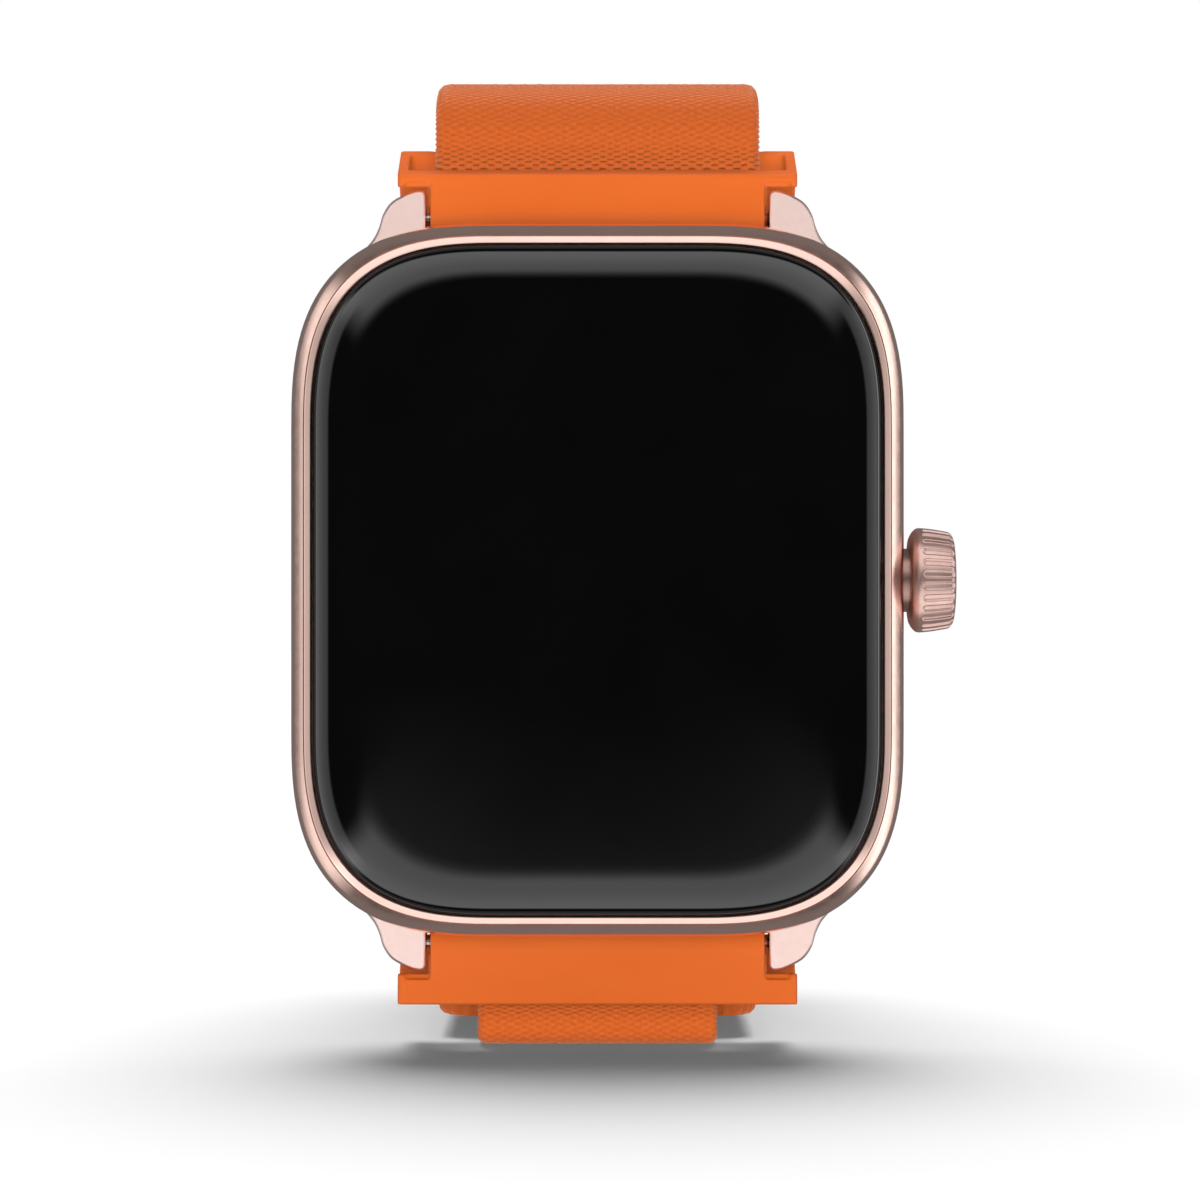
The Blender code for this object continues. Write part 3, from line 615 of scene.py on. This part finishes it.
def make_back(looks):
    """The back cover with its sensor rise, screws, contacts and window."""
    profile = [(3.3, 9.05), (2.85, 9.05), (2.85, 9.7), (2.88, 9.8), (2.95, 9.9), (3.1, 9.97)]
    profile += [(3.3, 10.0), (4.6, 10.0)]
    cover = skin("back_cover_plate", case_rings(profile))
    rise = [(9.5, 11.6), (10.0, 11.6), (10.12, 11.5), (10.3, 11.3), (10.41, 11.1), (10.45, 10.85)]
    carve(cover, "UNION", turned("rise", [*rise, (10.45, 7.0)], "Y", (0, 0), 128))
    cutters = [turned("window", [(8.0, 8.35), (12.0, 8.35)], "Y", (0, 0), 128)]
    for point in screw_points():
        well = [(8.5, 0.62), (9.5, 0.62), (9.5, 1.1), (9.9, 1.1), (10.05, 1.25), (11.0, 1.25)]
        cutters.append(turned("well", well, "Y", point, 48))
    for side in (-1, 1):
        cutters.append(turned("well", [(8.5, 0.85), (11.0, 0.85)], "Y", (side * 2.2, -14.0), 48))
    carve(cover, "DIFFERENCE", *cutters)
    finish_piece(cover, looks["plastic"], "head", ["back_cover"], 28)

    for number, point in enumerate(screw_points(), 1):
        head = [(7.98, 0.35), (8.1, 0.5), (9.58, 0.5), (9.58, 0.9), (9.63, 0.98), (9.88, 0.98)]
        screw = turned("screw", [*head, (9.96, 0.92), (9.98, 0.8)], "Y", point, 48)
        angles = np.linspace(0, 2 * math.pi, 60, endpoint=False)
        radius = 0.42 + 0.08 * np.cos(6 * angles)
        star = []
        for depth in (9.7, 10.2):
            x, z = point[0] + radius * np.cos(angles), point[1] + radius * np.sin(angles)
            star.append(np.stack([x, np.full(60, depth), z], 1))
        carve(screw, "DIFFERENCE", skin("drive", star))
        screw.name = f"screw_{number}_with_drive"
        finish_piece(screw, looks["steel"], "head", [f"back_screw_{number}"])
    for side, name in ((-1, "left"), (1, "right")):
        shape = [(8.9, 0.6), (8.95, 0.72), (9.86, 0.72), (9.96, 0.68), (10.03, 0.58), (10.06, 0.4)]
        contact = turned(f"contact_pad_{name}", shape, "Y", (side * 2.2, -14.0), 48)
        finish_piece(contact, looks["gold"], "head", [f"charge_contact_{name}"])
    window = [(9.45, 8.1), (9.5, 8.22), (10.45, 8.22), (10.6, 8.12), (10.72, 7.85), (10.79, 7.4)]
    window += [(10.84, 6.6), (10.875, 5.5), (10.89, 4.4), (10.9, 2.5)]
    glass = turned("sensor_window_lens", window, "Y", (0, 0), 128)
    finish_piece(glass, looks["sensor_glass"], "head", ["sensor_window"], 50)


def make_crown(looks):
    """A fluted knob on a neck. Each groove has a round inner end and runs out over the rim."""
    around, along_steps = CROWN_FLUTES * 18, 44
    profile = [(17.9, 0.82), (17.9, 1.8), (17.96, 1.88), (18.2, 1.88), (18.42, 1.88)]
    profile += [(18.45, 1.95), (18.455, 2.2), (18.46, 2.45), (18.49, 2.56), (18.6, 2.78)]
    profile += [(18.74, 2.95), (18.86, 3.05), (18.96, 3.09), (19.08, 3.1)]
    for step in range(along_steps + 1):
        share = step / along_steps
        profile.append((19.1 + 1.72 * share, 3.1 - 0.24 * share ** 1.5))
    profile += [(20.9, 2.79), (20.98, 2.7), (21.05, 2.58), (21.1, 2.42), (21.13, 2.2)]
    profile += [(21.155, 1.9), (21.17, 1.5), (21.18, 1.0)]
    angles = np.linspace(0, 2 * math.pi, around, endpoint=False)
    pitch = 2 * math.pi / CROWN_FLUTES
    off_centre = (angles + pitch / 2) % pitch - pitch / 2
    rings = []
    for x, radius in profile:
        sideways = off_centre * 3.0
        past_start = x - (CROWN_GROOVE_START + CROWN_GROOVE_HALF)
        end = np.minimum(past_start, 0.0)
        near = np.sqrt(sideways ** 2 + end ** 2) / CROWN_GROOVE_HALF
        groove = np.clip((1.28 - near) / 0.5, 0, 1)
        groove = groove ** 2 * (3 - 2 * groove)
        fade = min(1.0, max(0.0, (21.12 - x) / 0.2))
        r = radius - CROWN_GROOVE_DEPTH * groove * fade * (radius > 2.0)
        y, z = CROWN_Y + r * np.cos(angles), r * np.sin(angles)
        rings.append(np.stack([np.full(around, x), y, z], 1))
    made = skin("crown_knob", rings)
    finish_piece(made, looks["turned_metal"], "crown", ["crown_head"], 50)


def make_pins(looks):
    """The ends of the spring bars that go into the lugs, and the quick-release levers."""
    for place, side_z in (("upper", 1), ("lower", -1)):
        centre = (BAR_Y, side_z * BAR_Z)
        shape = [(-PIN_REACH, 0.24), (-PIN_REACH + 0.06, 0.33), (-PIN_REACH + 0.18, PIN_R)]
        shape += [(-10.06, PIN_R), (-10.03, 0.44), (-9.94, 0.44), (-9.92, PIN_R), (-2.2, PIN_R)]
        pin = turned(f"{place}_fixed_pin_turned", shape, "X", centre, 40)
        finish_piece(pin, looks["steel"], f"{place}_strap", [f"{place}_fixed_pin"])
        shape = [(6.1, PIN_R), (PIN_REACH - 0.18, PIN_R), (PIN_REACH - 0.06, 0.33)]
        shape += [(PIN_REACH, 0.24)]
        pin = turned(f"{place}_release_pin_turned", shape, "X", centre, 40)
        low = (LEVER_X, BAR_Y + 0.1, side_z * BAR_Z - 0.28)
        high = (LEVER_X + LEVER_W, BAR_Y + 2.1, side_z * BAR_Z + 0.28)
        lever = block("lever", low, high)
        bevel = lever.modifiers.new("bevel", "BEVEL")
        bevel.width = 0.09
        bevel.segments = 3
        apply_modifiers(lever)
        carve(pin, "UNION", lever)
        nodes = [f"{place}_release_pin"]
        finish_piece(pin, looks["steel"], f"{place}_release", nodes)


# ---------------------------------------------------------------- connectors


def rounded_moulding(name, section, side_z):
    """The section carried across the strap, with its front and back rounded at the ends."""
    rounding = 0.8
    round_from = WIDE_HALF - rounding
    stations = [WIDE_HALF - rounding * (1 - math.sin(math.radians(10 * k))) for k in range(10)]
    stations = [-x for x in reversed(stations)] + stations
    rings = []
    for x in stations:
        share = min(1.0, max(0.0, (abs(x) - round_from) / rounding))
        front = WALL_FRONT_Y + rounding * (1 - math.sqrt(1 - share * share))
        back = EAR_BACK_Y - 0.5 * rounding * (1 - math.sqrt(1 - share * share))
        rings.append([(x, min(max(y, front), back), side_z * z) for y, z in section])
    return skin(name, rings)


def cut_recesses(made, side_z):
    """Room for the lugs: a round recess behind a shallow step, and a gap by the barrel."""
    centre = (BAR_Y, side_z * BAR_Z)
    heights = sorted((side_z * SHELF_Z, side_z * 30.0))
    beyond = 20.0
    for side_x in (-1, 1):
        spans = {"recess": (SHOULDER_X, WIDE_HALF + 1), "step": (BARREL_HALF, WIDE_HALF - 0.4)}
        spans["gap"] = (BARREL_HALF, SHOULDER_X + 0.01)
        cuts = {}
        for part, (near, far) in spans.items():
            low, high = sorted((side_x * near, side_x * far))
            cuts[part] = turned(part, [(low, RECESS_R), (high, RECESS_R)], "X", centre, 96)
        wall = block("wall", (-beyond, 0.0, heights[0]), (beyond, SHELF_BACK_Y, heights[1]))
        carve(cuts["recess"], "DIFFERENCE", wall)
        for part, depth in (("step", STEP_Y), ("gap", SHOULDER_Y_FRONT)):
            deep = block("deep", (-beyond, depth, -40.0), (beyond, 40.0, 40.0))
            carve(cuts[part], "DIFFERENCE", deep)
        carve(made, "DIFFERENCE", *cuts.values())


def passage_section(side_z, bar_height):
    """The way through for the strap: round the barrel and over the bar."""
    within = BARREL_R - 0.05
    void = [(WALL_BACK_Y, 29.0)]
    for step in range(20):
        angle = math.radians(103 - 103 * step / 19)
        void.append((BAR_Y + within * math.cos(angle), BAR_Z + within * math.sin(angle)))
    void += [(BAR_Y + within, 20.5), (12.5, 20.5), (12.5, 29.0), (STRAP_BAR_BACK, 29.0)]
    void += [(STRAP_BAR_BACK, bar_height), (STRAP_BAR_FRONT, bar_height), (STRAP_BAR_FRONT, 29.0)]
    return [(y, side_z * z) for y, z in void]


def connector(name, node, side_z, edge, bar_height, looks, body):
    """A moulded end: a barrel between the lugs, ears behind them and a slot for the strap."""
    centre = (BAR_Y, side_z * BAR_Z)
    made = rounded_moulding(name, [*edge, (EAR_BACK_Y, BAR_Z - 0.1)], side_z)
    cut_recesses(made, side_z)
    half = BARREL_HALF + 0.02
    carve(made, "DIFFERENCE", prism("passage", passage_section(side_z, bar_height), -half, half))
    barrel = [(-BARREL_HALF, BARREL_R), (BARREL_HALF, BARREL_R)]
    carve(made, "UNION", turned("barrel", barrel, "X", centre, 96))
    heights = sorted((side_z * (BAR_Z + RECESS_R + 0.05), side_z * 29.0))
    low = (-SLOT_HALF, WALL_BACK_Y + 0.001, heights[0])
    high = (SLOT_HALF, SLOT_BACK_Y, heights[1])
    carve(made, "DIFFERENCE", block("slot", low, high))
    bore = [(-14.0, 0.9), (14.0, 0.9)]
    low = (LEVER_X - RELEASE_TRAVEL - 0.4, BAR_Y, side_z * BAR_Z - 0.55)
    high = (LEVER_X + LEVER_W + 0.4, BAR_Y + 2.5, side_z * BAR_Z + 0.55)
    bore = turned("bore", bore, "X", centre, 48)
    carve(made, "DIFFERENCE", bore, block("lever_slot", low, high))
    soften(made, 0.1, 5)
    finish_piece(made, looks["moulding"], body, [node], 60)
    made.visible_diffuse = False


def make_connectors(looks):
    edge = [(WALL_FRONT_Y, BAR_Z - 0.1), (WALL_FRONT_Y, 21.9), (5.48, 23.95), (5.58, 24.16)]
    edge += [(5.85, 24.3), (10.0, 26.05), (10.4, 26.1), (10.75, 25.9), (EAR_BACK_Y, 25.5)]
    connector("upper_moulding", "upper_connector", 1, edge, 24.5, looks, "upper_strap")
    edge = [(WALL_FRONT_Y, BAR_Z - 0.1), (WALL_FRONT_Y, 21.9), (5.55, 25.1), (5.62, 25.24)]
    edge += [(5.8, 25.3), (9.9, 25.4), (10.4, 25.25), (EAR_BACK_Y, 24.7)]
    connector("lower_moulding", "lower_connector", -1, edge, 24.1, looks, "lower_strap")


# ---------------------------------------------------------------- the strap


def strap_centre_line():
    """From the end folded back inside the loop, round the upper bar and round the wrist."""
    wrap = [(12.3, 26.8, 0), (10.95, 25.6, 0.8), (10.95, 23.7, 0.8), (7.42, 23.7, 1.2)]
    wrap += [(7.42, 26.3, 0)]
    loop = [(7.5, 27.0), (8.1, 28.1), (9.4, 29.0), (11.4, 29.6), (13.8, 29.9), (16.6, 30.0)]
    loop += [(20.5, 29.95), (26.0, 29.3), (33.0, 27.0), (40.4, 21.6), (46.1, 13.0), (48.1, 2.0)]
    loop += [(46.7, -8.5), (42.5, -17.6), (36.9, -23.4), (31.2, -25.7), (26.5, -25.95)]
    loop += [(19.0, -25.95), (SHOULDER_Y, -25.95)]
    outer = smooth_path(loop, LOOP_STEPS)
    folded = outer[FOLD_START * LOOP_STEPS : FOLD_END * LOOP_STEPS]
    layer = []
    for before, point, after in zip(folded, folded[1:], folded[2:]):
        along = (after - before).normalized()
        layer.append(point + Vector((along.y, -along.x)) * (STRAP_T + LAYER_GAP))
    return [*reversed(layer), *rounded_path(wrap), *outer]


def tail_centre_line():
    """From the shoulder, over the lower bar, down through the slot and back under itself."""
    corners = [(11.75, -25.9, 0), (10.88, -25.7, 0.6), (10.88, -23.36, 0.75), (8.7, -23.36, 0.9)]
    corners += [(7.35, -24.6, 0.7), (7.35, -25.3, 0.9), (TAIL_FRONT_Y, -26.3, 0.9)]
    corners += [(TAIL_FRONT_Y, -27.3, 0.7), (TAIL_END_Y, -27.3, 0)]
    return rounded_path(corners)


def even_path(points, step):
    """The path's points at equal distances, their normals and their lengths along it."""
    path = np.array([tuple(point) for point in points])
    keep = np.concatenate([[True], np.linalg.norm(np.diff(path, axis=0), axis=1) > 1e-6])
    path = path[keep]
    length = np.concatenate([[0], np.cumsum(np.linalg.norm(np.diff(path, axis=0), axis=1))])
    count = int(round(length[-1] / step)) + 1
    at = np.linspace(0, length[-1], count)
    even = np.stack([np.interp(at, length, path[:, k]) for k in (0, 1)], 1)
    for _ in range(2):
        even[1:-1] = (even[:-2] + 2 * even[1:-1] + even[2:]) / 4
    along = np.gradient(even, axis=0)
    along /= np.linalg.norm(along, axis=1)[:, None]
    return even, np.stack([-along[:, 1], along[:, 0]], 1), at


def uneven(u, v, seed):
    """A repeatable value from -1 to 1 for each yarn crossing."""
    mixed = np.sin(np.round(u) * 12.9898 + np.round(v) * 78.233 + seed) * 43758.5453
    return 2 * (mixed - np.floor(mixed)) - 1


def webbing(name, path, half_w, thick, across, along, relief, seed, narrow=None, ceiling=None):
    """A woven band: staggered yarn crossings on both faces, between two rounded selvedges."""
    centres, normals, at = even_path(path, along / 3)
    top = int(round(2 * half_w / (across / 5)))
    edge_r = thick / 2 - 0.06
    flat = half_w - edge_r
    face = np.linspace(-flat, flat, top + 1)
    turn = np.linspace(math.pi / 2, -math.pi / 2, 7)[1:-1]
    back = np.linspace(flat, -flat, top // 4 + 1)
    u = np.concatenate([face, flat + edge_r * np.cos(turn), back, -flat - edge_r * np.cos(turn)])
    h = np.concatenate([np.full(face.size, edge_r), edge_r * np.sin(turn)])
    h = np.concatenate([h, np.full(back.size, -edge_r), edge_r * np.sin(turn)[::-1]])
    grid_u, grid_v = np.meshgrid(u, at)
    grid_h = np.tile(h, (at.size, 1))
    column, row = grid_u / (across / 2), grid_v / (along / 2)
    wave = 2 * (0.5 + 0.5 * np.cos(math.pi * column) * np.cos(math.pi * row)) ** 1.5 - 1
    wave *= 1 + 0.6 * uneven(column, row, seed)
    sign = np.where(np.abs(grid_h) > 0.2 * edge_r, np.sign(grid_h), 0)
    grid_h = grid_h + sign * relief * wave
    side = np.where(np.abs(grid_u) > flat - 0.01, np.sign(grid_u), 0)
    width = grid_u + side * 0.05 * np.cos(2 * math.pi * grid_v / along + 1.5 * side)
    if narrow is not None:
        width = width * narrow(at)[:, None]
    points = np.empty((*grid_u.shape, 3))
    points[..., 0] = width
    points[..., 1] = centres[:, 0, None] + normals[:, 0, None] * grid_h
    points[..., 2] = centres[:, 1, None] + normals[:, 1, None] * grid_h
    if ceiling is not None:
        points[..., 2] = np.minimum(points[..., 2], ceiling(points[..., 1]))
    made = skin(name, points)
    lay_cloth(made, np.stack([grid_u.ravel(), grid_v.ravel()], 1))
    return made, float(at[-1])


def lay_cloth(made, lengths):
    """Gives each corner its place in the flat cloth, in millimetres."""
    corners = np.empty(len(made.data.loops), np.int32)
    made.data.loops.foreach_get("vertex_index", corners)
    layer = made.data.uv_layers.new(name="cloth")
    layer.data.foreach_set("uv", lengths[corners].astype(np.float32).ravel())


def stretch_at(path, first, last):
    """The lengths along a path where it comes nearest to two points."""
    centres, _, at = even_path(path, 0.1)
    reached = [at[np.argmin(np.linalg.norm(centres - point, axis=1))] for point in (first, last)]
    return float(min(reached)), float(max(reached))


def make_strap():
    """The wide band, a little narrower where it ends."""
    path = strap_centre_line()
    opened = stretch_at(path, (7.42, 24.0), (7.42, 25.3))
    across, along = WEAVE_ACROSS, WEAVE_ALONG
    # Painted shade: the same webbing as the tail, in darker yarn colours than the tail's.
    yarns = (0.56, 0.1, 0.014), (0.66, 0.128, 0.023)
    weave = weave_look("orange_webbing_shaded", across, along, *yarns, opened)

    def narrow(at):
        left = np.clip(at[-1] - at, 0, 1.2) / 1.2
        return 1 - 0.1 * (1 - left) ** 2

    band, length = webbing(
        "strap_webbing", path, STRAP_HALF_W, STRAP_T, across, along, 0.02, 1.0, narrow
    )
    finish_piece(band, weave, "upper_strap", ["strap_main"], 80)
    band.visible_diffuse = False


def make_tail(looks):
    """The narrow band with the hook tape at its end."""
    path = tail_centre_line()
    opened = stretch_at(path, (7.35, -24.7), (7.35, -25.0))
    across, along = TAIL_WEAVE_ACROSS, TAIL_WEAVE_ALONG
    yarns = (0.76, 0.13, 0.018), (0.86, 0.175, 0.034)
    weave = weave_look("orange_tail_webbing", across, along, *yarns, opened)

    def ceiling(depth):
        return np.where(depth > PATCH_START_Y, PATCH_LOW_Z + 0.02, 0.0)

    band, length = webbing(
        "tail_webbing", path, TAIL_HALF_W, TAIL_T, across, along, 0.016, 2.0, ceiling=ceiling
    )
    finish_piece(band, weave, "lower_strap", ["strap_tail"], 80)
    band.visible_diffuse = False
    patch = hook_tape(looks)


def hook_tape(looks):
    """A plate with rows of small hooks, drawn as staggered peaks, on top."""
    columns, rows = 34, 22
    low = np.array((-TAIL_HALF_W + 0.4, PATCH_START_Y + 0.15))
    high = np.array((TAIL_HALF_W - 0.4, TAIL_END_Y - 0.3))
    grid = np.stack(np.meshgrid(*[np.linspace(0, 1, n) for n in (columns, rows)]), -1)
    flat = low + grid * (high - low)
    peaks = 0.16 * (np.indices((rows, columns)).sum(0) % 2)
    peaks[[0, -1]] = 0
    peaks[:, [0, -1]] = 0
    top = np.stack([flat[..., 0], flat[..., 1], PATCH_LOW_Z + 0.22 + peaks], -1)
    under = np.full((rows, columns), PATCH_LOW_Z + 0.05)
    base = np.stack([flat[..., 0], flat[..., 1], under], -1)
    patch = plate("hook_tape_strip", top, base)
    return finish_piece(patch, looks["hooks"], "lower_strap", ["hook_patch"])


def plate(name, top, base):
    """A closed plate between two grids of points."""
    rows, columns = top.shape[:2]
    index = np.arange(rows * columns).reshape(rows, columns)
    quads = np.stack([index[:-1, :-1], index[:-1, 1:], index[1:, 1:], index[1:, :-1]], -1)
    faces = quads.reshape(-1, 4).tolist()
    under = [[corner + rows * columns for corner in reversed(face)] for face in faces]
    rim = [*index[0], *index[1:, -1], *index[-1, -2::-1], *index[-2:0:-1, 0]]
    offset = rows * columns
    walls = [[b, a, a + offset, b + offset] for a, b in zip(rim, rim[1:] + rim[:1])]
    faces = [[int(corner) for corner in face] for face in faces + under + walls]
    return mesh_object(name, np.concatenate([top.reshape(-1, 3), base.reshape(-1, 3)]), faces)


# ---------------------------------------------------------------- CAD nodes that stay


def dress_cad_nodes(looks):
    """The parts inside the watch keep their CAD shapes and get detailed surfaces."""
    kept = {
        "display": ["display_panel"],
        "seal": ["glass_gasket", "back_gasket", "crown_o_ring"],
        "plastic": ["inner_chassis", "crown_carriage", "crown_switch"],
        "foil": ["battery"],
        "board": ["main_board", "sensor_board"],
        "ceramic": ["gps_antenna"],
        "led": ["sensor_led"],
        "photodiode": ["photodiode_left", "photodiode_right"],
        "steel": ["shield_can", "haptic_motor", "crown_shaft", "crown_tube", "crown_clip"],
    }
    kept["steel"] += ["crown_magnet", "upper_bar_tube", "lower_bar_tube"]
    kept["steel"] += ["upper_bar_spring", "lower_bar_spring"]
    for look, names in kept.items():
        for name in names:
            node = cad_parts[name]
            if not node.material_slots:
                node.data.materials.append(looks[look])
            for slot in node.material_slots:
                slot.link = "OBJECT"
                slot.material = looks[look]


# ---------------------------------------------------------------- studio


def stage_look(name, colour, emission=0.0):
    look = Look(name, Roughness=0.9)
    look.shader.inputs["Specular IOR Level"].default_value = 0.0
    paper = look.blend(look.span(look.noise(30.0), 0, 1), colour, [c * 0.985 for c in colour])
    look.colour(paper)
    if emission:
        look.shader.inputs["Emission Color"].default_value = (1.0, 1.0, 1.0, 1.0)
        look.shader.inputs["Emission Strength"].default_value = emission
    return look.material


def make_studio():
    """A pale floor in a white surround that only the camera sees."""
    reach = 2000
    corners = [(-reach, -reach, 0), (reach, -reach, 0), (reach, reach, 0), (-reach, reach, 0)]
    floor = mesh_object("floor", corners, [(0, 1, 2, 3)])
    floor.data.transform(Matrix.Scale(MM, 4))
    floor.location.z = cad_box[0].z - 0.00005
    floor.data.materials.append(stage_look("floor_paper", (0.92, 0.92, 0.92)))
    floor.visible_glossy = False
    floor.visible_shadow = False
    bpy.ops.mesh.primitive_uv_sphere_add(radius=4.0, segments=48, ring_count=24)
    surround = bpy.context.object
    surround.name = "surround"
    surround.data.materials.append(stage_look("surround_paper", (0.0, 0.0, 0.0), 1.0))
    for ray in ("diffuse", "glossy", "transmission", "volume_scatter", "shadow"):
        setattr(surround, f"visible_{ray}", False)


def sun(name, azimuth, elevation, strength, spread):
    """Even soft light from one side. It lights matt surfaces only, and the soft boxes make
    every reflection."""
    light = bpy.data.lights.new(name, "SUN")
    light.energy = strength
    light.angle = math.radians(spread)
    made = bpy.data.objects.new(name, light)
    bpy.context.scene.collection.objects.link(made)
    a, e = math.radians(azimuth), math.radians(elevation)
    back = Vector((math.sin(a) * math.cos(e), -math.cos(a) * math.cos(e), math.sin(e)))
    made.rotation_euler = back.to_track_quat("Z", "Y").to_euler()
    made.visible_glossy = False


def world_softboxes(boxes, base, ambient):
    """Soft boxes round the watch: each has a span of angles from the dial's axis, a span of
    angles round it, and a brightness at its near and its far side. They show in glossy
    surfaces, and matt ones get an even light."""
    world = bpy.data.worlds.new("studio")
    bpy.context.scene.world = world
    world.use_nodes = True
    tree = world.node_tree
    background = tree.nodes["Background"]
    background.inputs["Color"].default_value = (1.0, 1.0, 1.0, 1.0)

    def link(value, socket):
        if isinstance(value, bpy.types.NodeSocket):
            tree.links.new(value, socket)
        else:
            socket.default_value = value

    def calc(operation, *values):
        made = tree.nodes.new("ShaderNodeMath")
        made.operation = operation
        for value, socket in zip(values, made.inputs):
            link(value, socket)
        return made.outputs[0]

    def ramp(value, low, high, start=0.0, end=1.0):
        made = tree.nodes.new("ShaderNodeMapRange")
        made.interpolation_type = "SMOOTHSTEP"
        for value_, socket in zip((value, low, high, start, end), made.inputs):
            link(value_, socket)
        return made.outputs[0]

    place = tree.nodes.new("ShaderNodeTexCoord").outputs["Generated"]
    split = tree.nodes.new("ShaderNodeSeparateXYZ")
    tree.links.new(place, split.inputs[0])
    x, y, z = split.outputs
    tilt = calc("MULTIPLY", calc("ARCCOSINE", calc("MULTIPLY", y, -1.0)), 180 / math.pi)
    total = base
    for (near, far), softness, middle, half, round_soft, (first, last) in boxes:
        roll_x = calc("MULTIPLY", x, math.cos(math.radians(middle)))
        roll_x = calc("ADD", roll_x, calc("MULTIPLY", z, math.sin(math.radians(middle))))
        roll_z = calc("MULTIPLY", z, math.cos(math.radians(middle)))
        roll_z = calc("SUBTRACT", roll_z, calc("MULTIPLY", x, math.sin(math.radians(middle))))
        roll = calc("ABSOLUTE", calc("MULTIPLY", calc("ARCTAN2", roll_z, roll_x), 180 / math.pi))
        power = ramp(tilt, near, far, first, last)
        power = calc("MULTIPLY", power, ramp(tilt, near - softness[0], near + softness[0]))
        power = calc("MULTIPLY", power, ramp(tilt, far - softness[1], far + softness[1], 1.0, 0.0))
        power = calc("MULTIPLY", power, ramp(roll, half - round_soft, half + round_soft, 1.0, 0.0))
        total = calc("ADD", total, power)
    on_matt = tree.nodes.new("ShaderNodeLightPath").outputs["Is Diffuse Ray"]
    evened = calc("MULTIPLY_ADD", on_matt, calc("SUBTRACT", ambient, total), total)
    tree.links.new(evened, background.inputs["Strength"])


def make_lights():
    boxes = [
        ((23.0, 78.0), (9.0, 3.0), 92.0, 52.0, 10.0, (0.9, 1.35)),
        ((9.0, 78.0), (7.0, 3.0), -90.0, 56.0, 8.0, (0.93, 1.3)),
        ((55.0, 96.0), (4.0, 4.0), 182.0, 42.0, 8.0, (0.55, 1.2)),
        ((55.0, 86.0), (4.0, 3.0), -2.0, 38.0, 6.0, (0.5, 1.0)),
        ((89.0, 98.0), (3.0, 3.0), 0.0, 40.0, 10.0, (2.2, 2.2)),
        ((90.0, 190.0), (5.0, 5.0), 0.0, 200.0, 10.0, (0.19, 0.15)),
    ]
    world_softboxes(boxes, 0.012, 0.13)
    sun("overhead", 180, 62, 3.35, 50)
    sun("front_fill", 0, -2, 2.35, 50)


def make_camera():
    camera = bpy.data.cameras.new("camera")
    camera.lens = LENS
    camera.sensor_width = 36.0
    camera.clip_start, camera.clip_end = 0.01, 20.0
    made = bpy.data.objects.new("camera", camera)
    bpy.context.scene.collection.objects.link(made)
    made.location = TO_FRAME @ Vector((CAMERA_X, CAMERA_Y, CAMERA_Z))
    made.rotation_euler = (math.radians(90), 0, 0)
    bpy.context.scene.camera = made
    bpy.context.scene.view_settings.view_transform = "Standard"


looks = make_looks()
make_frame(looks)
make_glass(looks)
make_back(looks)
make_crown(looks)
make_pins(looks)
make_connectors(looks)
make_strap()
make_tail(looks)
dress_cad_nodes(looks)
make_studio()
make_lights()
make_camera()
